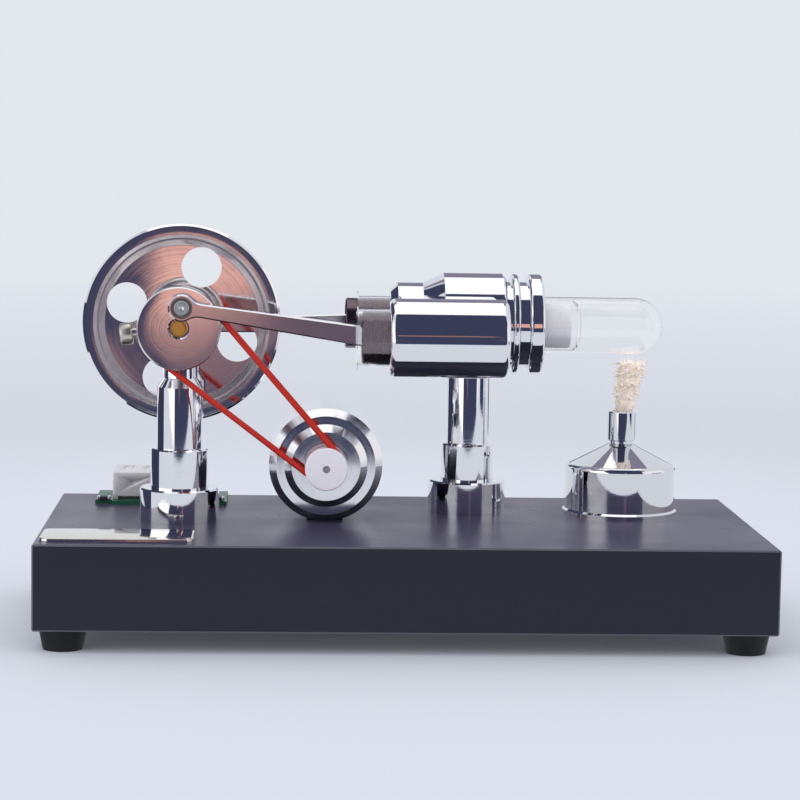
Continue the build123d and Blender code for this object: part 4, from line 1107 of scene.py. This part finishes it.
@dataclass
class Cylinders(SubAssembly):
    """The polished block on its post, the glass cylinders, the hot tube and the displacer."""

    packing_gap: float = 0.1        # between the packing and its glass, mm
    packing_edge: float = 0.7       # rounding of its ends
    packing_bow: float = 0.3        # how far that rounding stays in at its middle, against it
    packing_rows: int = 24          # rows of faces along it, for its relief
    packing_sides: int = 72
    relief: float = 2.5             # size of the relief on its skin
    relief_height: float = 0.12     # how uneven its skin is

    FINISHES: ClassVar[dict[str, Finish]] = {
        "cylinder_post": CYLINDER_POST_ALUMINIUM, "cylinder_block": BLOCK_ALUMINIUM,
        "hot_end_flange": HOT_END_ALUMINIUM, "hot_end_nut": HOT_END_ALUMINIUM,
        "hot_tube_seal": SEAL_SILICONE, "hot_tube": TUBE_GLASS, "displacer_shell": DISPLACER_GLASS,
        "power_cylinder_glass": CYLINDER_GLASS, "guide_cylinder_glass": CYLINDER_GLASS,
        "displacer_plug": PLUG_ALUMINIUM, "displacer_rod_bush": BUSH_BRASS,
    }

    def build(self) -> None:
        """Dress the cylinders and make the displacer's packing."""
        self.dress()
        self.hand_over(self.packing(), PACKING, "displacer_body", "packing_ceramic",
                       "displacer_core")

    def packing(self) -> Piece:
        """Roll the fibre packing: a soft cylinder with rounded ends and an uneven skin."""
        low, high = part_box("displacer_core")
        length = (high.x - low.x) / MM
        radius = (high.z - low.z) / 2 / MM - self.packing_gap
        edge, soft = self.packing_edge, self.packing_edge * self.packing_bow
        centre = middle("displacer_core")
        centre.x = low.x
        rows = [(radius, edge + (length - 2 * edge) * row / self.packing_rows)
                for row in range(self.packing_rows + 1)]
        piece = turned("rolled_fibre_packing", (
            (radius * 0.5, 0.0), (radius - edge, 0.0), (radius - soft, soft), *rows,
            (radius - soft, length - soft), (radius - edge, length), (radius * 0.5, length)),
            centre, ALONG, self.packing_sides)
        roughen(piece, self.relief, self.relief_height, level=1.0)
        return piece


@dataclass
class SpiritBurner(SubAssembly):
    """The spun steel burner with its loose cotton wick; heights are in mm above its holder."""

    seed: int = 7                   # of the random numbers
    strands: int = 7
    strand_sides: int = 8
    sunk: float = 3.0               # how far the wick is drawn down into its holder, mm
    stand: float = 13.3             # and how far it stands above it
    uneven: float = 1.8             # how much shorter a strand may be
    step: float = 0.55              # length of a strand between two rings
    twist: float = 0.21             # radians per mm
    spread: float = 0.62            # place of the outer strands' middles, against the girth
    thick: float = 0.4              # a strand's radius, against the girth
    lump: float = 0.12              # how much a strand's radius swells and shrinks
    lumps: float = 2.4              # and how often, radians per mm
    frayed: float = 0.62            # a strand's width at its end
    relief: float = 0.9             # size of the relief on the strands, mm
    relief_height: float = 0.75
    tufts: int = 170
    tuft_sides: int = 6
    tuft_radius: float = 0.34
    tuft_reach: tuple[float, float] = (3.0, 12.6)       # heights of the lowest and highest
    curl: tuple[Point, ...] = (
        (0.05, 0.35, 1.25), (0.2, 0.35, 1.1), (0.35, 0.22, 0.95), (0.35, 0.0, 0.85),
        (0.2, -0.2, 0.6))
    fibres: int = 420
    fibre_sides: int = 3
    fibre_radius: float = 0.07
    fibre_reach: tuple[float, float] = (-1.2, 12.8)
    crowding: float = 0.6           # below 1 they crowd towards the top
    rooted: tuple[float, float] = (0.55, 0.95)          # a fibre's foot, against the girth
    swing: float = 1.3              # how far it may turn from straight out, radians
    tilt: tuple[float, float] = (-0.1, 1.2)             # how far it leans out, radians
    sizes: tuple[float, float] = (0.5, 1.1)             # its size against the model's
    bend: tuple[Point, ...] = (
        (0.02, 0.4, 0.88), (0.08, 0.4, 0.88), (0.16, 0.4, 0.88), (0.26, 0.35, 0.88),
        (0.36, 0.25, 0.7))
    lean: Steps = ((0.0, 0.5), (5.0, 1.2), (9.0, 2.0), (13.6, 2.2))     # to the right, by height
    girth: Steps = (                                                    # its radius, by height
        (0.0, 2.2), (1.0, 2.7), (5.0, 2.9), (9.0, 3.3), (12.4, 3.7), (14.0, 3.0))

    FINISHES: ClassVar[dict[str, Finish]] = {
        "burner_tank": BURNER_STEEL, "burner_lid": BURNER_STEEL, "wick_holder": BURNER_STEEL,
    }

    def build(self) -> None:
        """Dress the burner and make its wick."""
        self.dress()
        self.hand_over(self.wick(), COTTON, "burner", "wick_cotton", "wick")

    def axis(self, height: float) -> Vector:
        """Give the wick's middle at a height, in metres."""
        foot = Vector((BURNER.x, BURNER.y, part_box("wick_holder")[1].z))
        return foot + Vector((between(self.lean, height), 0.0, height)) * MM

    def strand_place(self, strand: int, height: float) -> Vector:
        """Give a strand's middle at a height.

        Args:
            strand: which strand; 0 runs up the middle and the others are laid round it.
            height: the height.

        Returns:
            The point, metres.
        """
        if strand == 0:
            return self.axis(height)
        angle = math.tau * strand / (self.strands - 1) + self.twist * height
        spread = between(self.girth, height) * self.spread
        return self.axis(height) + round_about(angle) * spread * MM

    def strand_girth(self, strand: int, height: float) -> float:
        """Give a strand's lumpy radius at a height, against the wick's own."""
        lumpy = 1 + self.lump * math.sin(height * self.lumps + strand)
        return between(self.girth, height) * lumpy

    def strand(self, strand: int, end: float) -> Piece:
        """Draw one strand up out of the holder, ring by ring.

        Args:
            strand: which strand.
            end: the height of its end.

        Returns:
            The strand.
        """
        place = self.strand_place(strand, -self.sunk)
        piece = open_ring(f"strand_{strand}", self.strand_sides,
                          between(self.girth, 0) * self.thick * MM, place, filled=True)
        rings = round((end + self.sunk) / self.step)
        for ring in range(1, rings + 1):
            low, high = (-self.sunk + self.step * (ring - back) for back in (1, 0))
            following = self.strand_place(strand, high)
            wider = self.strand_girth(strand, high) / self.strand_girth(strand, low)
            draw_ring(following - place, wider * (self.frayed if ring == rings else 1.0))
            place = following
        bpy.ops.mesh.edge_face_add()
        close_up(piece, angle=80.0)
        return piece

    def fibre(self, name: str, sides: int, radius: float,
              path: tuple[Point, ...]) -> Piece:
        """Draw one curved fibre or tuft that stands up and bends over.

        Args:
            name: its name.
            sides: how many faces go round it.
            radius: its radius at the foot, mm.
            path: each step sideways and up, mm, with its new radius against the last one's.

        Returns:
            The fibre.
        """
        piece = open_ring(name, sides, radius * MM, filled=True)
        for aside, up, scale in path:
            draw_ring(Vector((aside, 0.0, up)) * MM, scale)
        bpy.ops.mesh.edge_face_add()
        close_up(piece, angle=80.0)
        return piece

    def scattered(self, model: Piece, count: int, reach: tuple[float, float],
                  chance: random.Random) -> list[Piece]:
        """Copy a fibre all round the wick, leaning out at random.

        Args:
            model: the fibre to copy; it is put away afterwards.
            count: how many copies.
            reach: the heights of the lowest and the highest copy.
            chance: the source of random numbers.

        Returns:
            The copies.
        """
        placements = []
        lowest, highest = reach
        for _ in range(count):
            height = lowest + (highest - lowest) * chance.random() ** self.crowding
            angle = chance.uniform(0.0, math.tau)
            out = between(self.girth, height) * chance.uniform(*self.rooted)
            place = self.axis(height) + round_about(angle) * out * MM
            turn = (Matrix.Rotation(angle + chance.uniform(-self.swing, self.swing), 4, "Z")
                    @ Matrix.Rotation(chance.uniform(*self.tilt), 4, "Y"))
            size = Matrix.Scale(chance.uniform(*self.sizes), 4)
            placements.append(Matrix.Translation(place) @ turn @ size)
        return copied(model, placements)

    def wick(self) -> Piece:
        """Twist the strands into a wick, roughen them, and add the loose fibres that stand out."""
        chance = random.Random(self.seed)
        strands = [self.strand(strand, self.stand - chance.uniform(0.0, self.uneven))
                   for strand in range(self.strands)]
        whole = joined("twisted_cotton_wick", strands)
        apply_modifier(whole, "SUBSURF", levels=1, render_levels=1)
        roughen(whole, self.relief, self.relief_height, level=0.55, octaves=3)
        tuft = self.fibre("tuft", self.tuft_sides, self.tuft_radius, self.curl)
        fibre = self.fibre("loose_fibre", self.fibre_sides, self.fibre_radius, self.bend)
        tufts = self.scattered(tuft, self.tufts, self.tuft_reach, chance)
        fibres = self.scattered(fibre, self.fibres, self.fibre_reach, chance)
        whole = joined("twisted_cotton_wick", [whole, *tufts, *fibres])
        whole.visible_shadow = False   # loose cotton lets light through
        return whole


@dataclass
class ChargeBoard(SubAssembly):
    """The circuit board with its folded socket, chips and solder joints."""

    socket_height: float = 6.4      # of the folded shell without its legs, mm
    fold: float = 0.7               # radius of the shell's folds
    wall: float = 0.35              # thickness of its sheet
    spring_aside: float = 2.9       # its springs' middles, from the shell's middle
    spring_back: float = 6.5        # their windows' middles, from its open end
    window_half: Point = (1.1, 3.2, 1.0)
    spring_half: Point = (0.8, 2.75, 0.12)
    spring_slip: tuple[float, float] = (0.5, 0.3)       # a spring's shift in its window, and in
    leg_width: float = 1.3
    leg_half: float = 0.3           # half of a leg's thickness
    leg_places: tuple[float, float] = (0.6, 2.4)        # from the shell's two ends
    mark_aside: float = 1.2         # a press mark's place on its closed end
    mark_above: float = 0.3
    mark_cut: Steps = ((0.45, 0.12), (0.62, -0.4))      # its cone, by radius and depth
    small_sides: int = 24           # faces round a press mark and a solder joint
    chip: Point = (3.4, 2.4, 1.0)
    chip_inset: float = 0.6
    chip_row: float = 5.0
    chip_end: float = 0.7           # length of a chip's tinned ends
    chip_lap: float = 0.9           # share of an end that its body leaves free
    tin: float = 0.06               # their thickness
    pads: Steps = ((27.5, 15.0), (27.5, 11.5), (31.0, 15.0), (31.0, 11.5))
    drop: Steps = ((0.9, 0.0), (0.85, 0.12), (0.5, 0.3), (0.35, 0.55), (0.15, 0.62))

    FINISHES: ClassVar[dict[str, Finish]] = {
        "circuit_board": BOARD_MASK, "usb_insulator": COVER_PLASTIC, "usb_contacts": CONTACT_GOLD,
    }

    def build(self) -> None:
        """Dress the board and make its socket shell, chips and solder."""
        self.dress()
        self.hand_over(self.shell(), USB_TIN, "frame", "usb_tin", "usb_shell")
        bodies, ends = self.chips()
        self.hand_over(bodies, CHIP_RESIN, "frame", "component_grey", "board_components")
        self.hand_over(ends, SOLDER, "frame", "component_grey", "board_components")
        self.hand_over(self.joints(), SOLDER, "frame", "component_grey")

    def shell(self) -> Piece:
        """Fold the socket's sheet shell: open at the rear, with spring windows and four legs."""
        low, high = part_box("usb_shell")
        foot = low.z
        low = Vector((low.x, low.y, high.z - self.socket_height * MM))
        piece = open_block("folded_socket_shell", low, high)
        select_edges(piece, lambda one, two: abs(one.y - two.y) > MM)
        bpy.ops.mesh.bevel(offset=self.fold * MM, segments=4)
        select_edges(piece, lambda one, two: max(one.y, two.y) < low.y + NEAR)
        bpy.ops.mesh.bevel(offset=self.wall * MM, segments=2)
        select_faces(piece, lambda place, normal: normal.y > 0.9)
        bpy.ops.mesh.delete(type="FACE")
        close_up(piece)
        apply_modifier(piece, "SOLIDIFY", thickness=self.wall * MM, offset=-1.0)
        centre = (low + high) / 2
        slip, sunk = self.spring_slip
        added = []
        for side in (-1, 1):
            for level, inwards in ((low.z, sunk), (high.z, -sunk)):
                window = Vector((centre.x + side * self.spring_aside * MM,
                                 high.y - self.spring_back * MM, level))
                cut(piece, block_about("spring_window", window, Vector(self.window_half) * MM,
                                       edge=0.2))
                added.append(block_about("spring", window + Vector((0.0, slip, inwards)) * MM,
                                         Vector(self.spring_half) * MM, edge=0.05))
        half = Vector((self.leg_width / 2, self.leg_half, 0.0)) * MM
        front, rear = self.leg_places
        for x in (low.x + half.x, high.x - half.x):
            for y in (low.y + front * MM, high.y - rear * MM):
                added.append(block("leg", Vector((x, y, foot)) - half,
                                   Vector((x, y, low.z + self.fold * MM)) + half, edge=0.08))
        mark = Vector((centre.x - self.mark_aside * MM, low.y, centre.z + self.mark_above * MM))
        cut(piece, turned("press_mark", self.mark_cut, mark, REARWARDS, self.small_sides))
        return joined("folded_socket_shell", [piece, *added])

    def chips(self) -> tuple[Piece, Piece]:
        """Make the three chips: resin bodies, and tinned ends that wrap them."""
        low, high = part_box("circuit_board")
        size = Vector(self.chip) * MM
        inset, row, end, tin = (length * MM for length in (
            self.chip_inset, self.chip_row, self.chip_end, self.tin))
        lap = Vector((end * self.chip_lap, tin, 0.0))
        bodies, ends = [], []
        for x, y in ((low.x + inset, low.y + inset),
                     (high.x - inset - size.x, low.y + inset),
                     (high.x - row - size.x, (low.y + high.y - size.y) / 2)):
            place = Vector((x, y, high.z))
            bodies.append(block("chip_body", place + lap, place + size - lap - UP * tin,
                                edge=0.08))
            for foot in (place, place + Vector((size.x - end, 0.0, 0.0))):
                ends.append(block("chip_end", foot, foot + Vector((end, size.y, size.z)),
                                  edge=0.12))
        return joined("chip_bodies", bodies), joined("chip_ends", ends)

    def joints(self) -> Piece:
        """Drop the solder joints: one modelled and copied to every pad."""
        low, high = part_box("circuit_board")
        corner = Vector((low.x, low.y, high.z))
        places = [Matrix.Translation(corner + Vector((x, y, 0.0)) * MM) for x, y in self.pads]
        return joined("solder_joints",
                      copied(turned("solder_joint", self.drop, Vector(), UP, self.small_sides),
                             places))


# ---- Studio --------------------------------------------------------------------------------------
WHITE = "#ffffff"
WALL = "#e3e7ee"
FLOOR = "#d3d7e2"
PAPER = "#d6d9e1"
SKY = "#eef0f6"
ROOM = "#3f435c"
FLAG = "#8b8797"
COPPER = "#f2bbae"
COPPER_SHADE = "#836b74"
MAUVE = "#7c6976"
BLUE = "#2b3a5c"


def standing(one: tuple[float, float], other: tuple[float, float], low: float,
             high: float) -> tuple[Point, ...]:
    """Give the corners of a card that stands upright between two places on the table.

    Args:
        one: the place of its first edge, metres.
        other: the place of its other edge.
        low: the height of its lower edge.
        high: the height of its upper edge.

    Returns:
        Its corners in order.
    """
    return ((*one, low), (*other, low), (*other, high), (*one, high))


def lying(left: float, front: float, right: float, rear: float, height: float) -> tuple[Point, ...]:
    """Give the corners of a level card.

    Args:
        left: where its left edge is, metres.
        front: where its front edge is.
        right: where its right edge is.
        rear: where its rear edge is.
        height: how high it hangs.

    Returns:
        Its corners in order.
    """
    return ((left, front, height), (right, front, height), (right, rear, height),
            (left, rear, height))


@dataclass(frozen=True)
class Card:
    """A glowing card that shows in reflections and never to the camera."""

    name: str
    colour: str
    corners: tuple[Point, ...]      # in order, metres
    strength: float = 1.0           # how bright it is, where 1 is white
    lights: bool = False            # whether it lights the engine too
    shade: str | None = None        # the colour that it falls off to, down and to the right

    FALLOFF: ClassVar[Point] = (9.0, 0.0, -25.6)    # how fast it does so along each axis, per metre
    FALLOFF_START: ClassVar[float] = -1.71

    def glow(self) -> bpy.types.Material:
        """Make the card's glowing surface."""
        material = bpy.data.materials.new(self.name + "_glow")
        tree = empty_tree(material)
        links = {}
        if self.shade is not None:
            place = add_node(tree, "TexCoord").outputs["Object"]
            slope = add_node(tree, "VectorMath", {"operation": "DOT_PRODUCT", 1: self.FALLOFF},
                             {0: place}).outputs["Value"]
            share = add_node(tree, "MapRange", {"From Min": self.FALLOFF_START,
                                                "From Max": self.FALLOFF_START + 1},
                             {"Value": slope}).outputs["Result"]
            links["Color"] = add_node(tree, "Mix", {"data_type": "RGBA", FIRST: linear(self.colour),
                                                    SECOND: linear(self.shade)},
                                      {"Factor": share}).outputs[MIXED]
        light = add_node(tree, "Emission", {"Color": linear(self.colour),
                                            "Strength": self.strength}, links)
        add_node(tree, "OutputMaterial", {}, {"Surface": light.outputs["Emission"]})
        return material

    def stand(self) -> None:
        """Put the card in its place."""
        mesh = bpy.data.meshes.new(self.name)
        mesh.from_pydata(self.corners, [], [tuple(range(len(self.corners)))])
        card = bpy.data.objects.new(self.name, mesh)
        bpy.context.scene.collection.objects.link(card)
        mesh.materials.append(self.glow())
        card.visible_camera = card.visible_shadow = card.visible_transmission = False
        card.visible_diffuse = self.lights


@dataclass
class Studio:
    """A pale table and wall, a soft light overhead, side reflectors and a dark room in front."""

    table_size: float = 8.0         # metres, as all its lengths are
    table_edge: float = -0.34       # where the pale table ends in front to a mirror
    near: float = 0.1               # the table's own shade reaches this far from the engine
    far: float = 0.55               # and has melted into the wall's shade here
    tone_near: float = 0.4          # the floor's tone starts to turn to the wall's here
    tone_far: float = 1.6           # and has done so here
    shadow: float = 0.06            # share of the table's own glow under the engine
    fill: float = 1.2               # strength of the soft light from all round
    camera_place: Point = (-0.03184, -0.63521, 0.12084)
    camera_aim: Point = (0.04879, 0.99375, -0.10039)
    camera_roll: float = 0.0161     # radians
    lens: float = 113.85            # mm, on a sensor of 36 mm

    CARDS: ClassVar[tuple[Card, ...]] = (
        Card("overhead_softbox", WHITE, lying(-0.4, -0.19, 0.35, 0.73, 0.85), 1.3, True),
        Card("softbox_left_flag", FLAG, lying(-0.4, 0.45, -0.02, 0.74, 0.84)),
        Card("softbox_right_flag", FLAG, lying(0.17, 0.45, 0.4, 0.9, 0.84)),
        Card("left_reflector", WHITE, standing((-0.45, -0.85), (-0.75, -0.06), -0.1, 0.6), 1.5,
             True),
        Card("right_reflector", WHITE, standing((0.62, -0.62), (0.8, 0.12), -0.1, 0.6), 1.0, True),
        Card("dark_room", ROOM, ((-0.6, -1.1, -0.4), (1.1, -1.1, -0.4), (1.1, -0.744, 0.25),
                                 (0.45, -0.25, 1.15), (-0.25, -0.25, 1.15), (-0.6, -0.744, 0.25))),
        Card("rear_flag", FLAG, ((-0.03, 1.0, 0.25), (0.4, 1.0, 0.25), (0.4, 0.74, 0.84),
                                 (-0.03, 0.74, 0.84))),
        Card("rear_left_flag", ROOM, ((-0.9, 1.0, 0.28), (-0.42, 1.0, 0.28), (-0.42, 0.9, 0.8),
                                      (-0.9, 0.9, 0.8))),
        Card("left_high_flag", ROOM, ((-0.42, 0.0, 0.85), (-0.74, 0.08, 0.36), (-0.78, 0.7, 0.36),
                                      (-0.42, 0.8, 0.85))),
        Card("left_edge_flag", ROOM, standing((-0.25, -0.02), (-0.25, 0.25), 0.0, 0.1), 0.8),
        Card("right_edge_flag", ROOM, standing((0.3, 0.3), (0.2, 0.33), 0.004, 0.03)),
        Card("right_blue_card", BLUE, standing((0.5, -0.23), (0.5, -0.02), 0.0, 0.05)),
        Card("warm_screen", COPPER, ((-0.103, -0.8, 0.068), (-0.068, -0.8, 0.07),
                                     (-0.046, -0.8, 0.054), (-0.038, -0.8, 0.027),
                                     (-0.038, -0.8, 0.002), (-0.05, -0.8, -0.022),
                                     (-0.096, -0.8, -0.022), (-0.096, -0.8, 0.0007),
                                     (-0.104, -0.8, 0.018)), shade=COPPER_SHADE),
        Card("warm_corner", COPPER, ((-0.138, -0.8, 0.008), (-0.132, -0.8, 0.008),
                                     (-0.112, -0.8, -0.024), (-0.118, -0.8, -0.028)), 0.8),
        Card("mauve_screen", MAUVE, standing((-0.038, -0.8), (0.03, -0.8), 0.0, 0.035)),
        Card("copper_strip_left", COPPER, standing((0.018, -0.7), (0.08, -0.7), 0.185, 0.22), 0.4),
        Card("copper_strip_right", COPPER, standing((0.1, -0.79), (0.14, -0.79), 0.04, 0.21)),
    )

    def build_table(self) -> None:
        """Lay the pale table, whose far front part is the dark room to a mirror."""
        bpy.ops.object.select_all(action="DESELECT")
        bpy.ops.mesh.primitive_plane_add(size=self.table_size, location=(0.0, 0.0, 0.0))
        table = bpy.context.active_object
        table.name = "table"
        material = bpy.data.materials.new("pale_table_paper")
        tree = empty_tree(material)
        place = add_node(tree, "TexCoord").outputs["Object"]
        reach = add_node(tree, "SeparateXYZ", {}, {"Vector": place}).outputs["Y"]
        away = add_node(tree, "VectorMath", {"operation": "LENGTH"}, {0: place}).outputs["Value"]
        depth = add_node(tree, "MapRange", {"From Min": self.tone_near, "From Max": self.tone_far},
                         {"Value": away}).outputs["Result"]
        tone = add_node(tree, "Mix", {"data_type": "RGBA", FIRST: linear(FLOOR),
                                      SECOND: linear(WALL)}, {"Factor": depth}).outputs[MIXED]
        beyond = add_node(tree, "Math", {"operation": "LESS_THAN", 1: self.table_edge},
                          {0: reach}).outputs["Value"]
        rays = add_node(tree, "LightPath")
        paper = add_node(tree, "BsdfDiffuse", {"Color": linear(PAPER)}).outputs["BSDF"]
        floor = add_node(tree, "Emission", {}, {"Color": tone}).outputs["Emission"]
        wall = add_node(tree, "Emission", {"Color": linear(WALL)}).outputs["Emission"]
        lit = add_node(tree, "MixShader", {0: self.shadow}, {1: paper, 2: floor}).outputs["Shader"]
        melted = add_node(tree, "MapRange", {"interpolation_type": "SMOOTHERSTEP",
                                             "From Min": self.near, "From Max": self.far},
                          {"Value": away}).outputs["Result"]
        sweep = add_node(tree, "MixShader", {}, {0: melted, 1: lit, 2: floor}).outputs["Shader"]
        room = add_node(tree, "BsdfTransparent").outputs["BSDF"]
        mirrored = add_node(tree, "MixShader", {}, {0: beyond, 1: wall, 2: room}).outputs["Shader"]
        both = add_node(tree, "MixShader", {},
                        {0: rays.outputs["Is Glossy Ray"], 1: sweep, 2: mirrored})
        add_node(tree, "OutputMaterial", {}, {"Surface": both.outputs["Shader"]})
        table.data.materials.append(material)

    def build_world(self) -> None:
        """Light the whole room softly, and show the pale wall to the camera, metal and glass."""
        world = bpy.data.worlds.new("pale_wall")
        bpy.context.scene.world = world
        tree = empty_tree(world)
        rays = add_node(tree, "LightPath").outputs
        seen = rays["Is Camera Ray"]
        for ray in ("Is Glossy Ray", "Is Transmission Ray"):
            seen = add_node(tree, "Math", {"operation": "MAXIMUM"},
                            {0: seen, 1: rays[ray]}).outputs["Value"]
        wall = add_node(tree, "Background", {"Color": linear(WALL)}).outputs["Background"]
        soft = add_node(tree, "Background", {"Color": linear(SKY),
                                             "Strength": self.fill}).outputs["Background"]
        both = add_node(tree, "MixShader", {}, {0: seen, 1: soft, 2: wall})
        add_node(tree, "OutputWorld", {}, {"Surface": both.outputs["Shader"]})

    def build_camera(self) -> None:
        """Set the camera low in front of the engine."""
        data = bpy.data.cameras.new("camera")
        data.lens = self.lens
        data.sensor_width = 36.0
        data.clip_start, data.clip_end = 0.01, 20.0
        camera = bpy.data.objects.new("camera", data)
        bpy.context.scene.collection.objects.link(camera)
        forward = Vector(self.camera_aim).normalized()
        level = forward.cross(UP).normalized()
        above = level.cross(forward)
        tilt_cos, tilt_sin = math.cos(self.camera_roll), math.sin(self.camera_roll)
        right = level * tilt_cos + above * tilt_sin
        top = above * tilt_cos - level * tilt_sin
        turn = Matrix((right, top, -forward)).transposed()
        camera.matrix_world = Matrix.Translation(self.camera_place) @ turn.to_4x4()
        bpy.context.scene.camera = camera

    def build(self) -> None:
        """Build the whole studio."""
        bpy.context.scene.view_settings.view_transform = "Standard"
        self.build_world()
        self.build_table()
        for card in self.CARDS:
            card.stand()
        self.build_camera()


def main() -> None:
    """Build the studio, then each sub-assembly in order."""
    logging.basicConfig(level=logging.INFO)
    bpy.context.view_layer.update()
    Studio().build()
    for assembly in (EngineBase(), CrankAssembly(), Generator(), Linkage(), Cylinders(),
                     SpiritBurner(), ChargeBoard()):
        assembly.build()


if __name__ == "__main__":
    main()
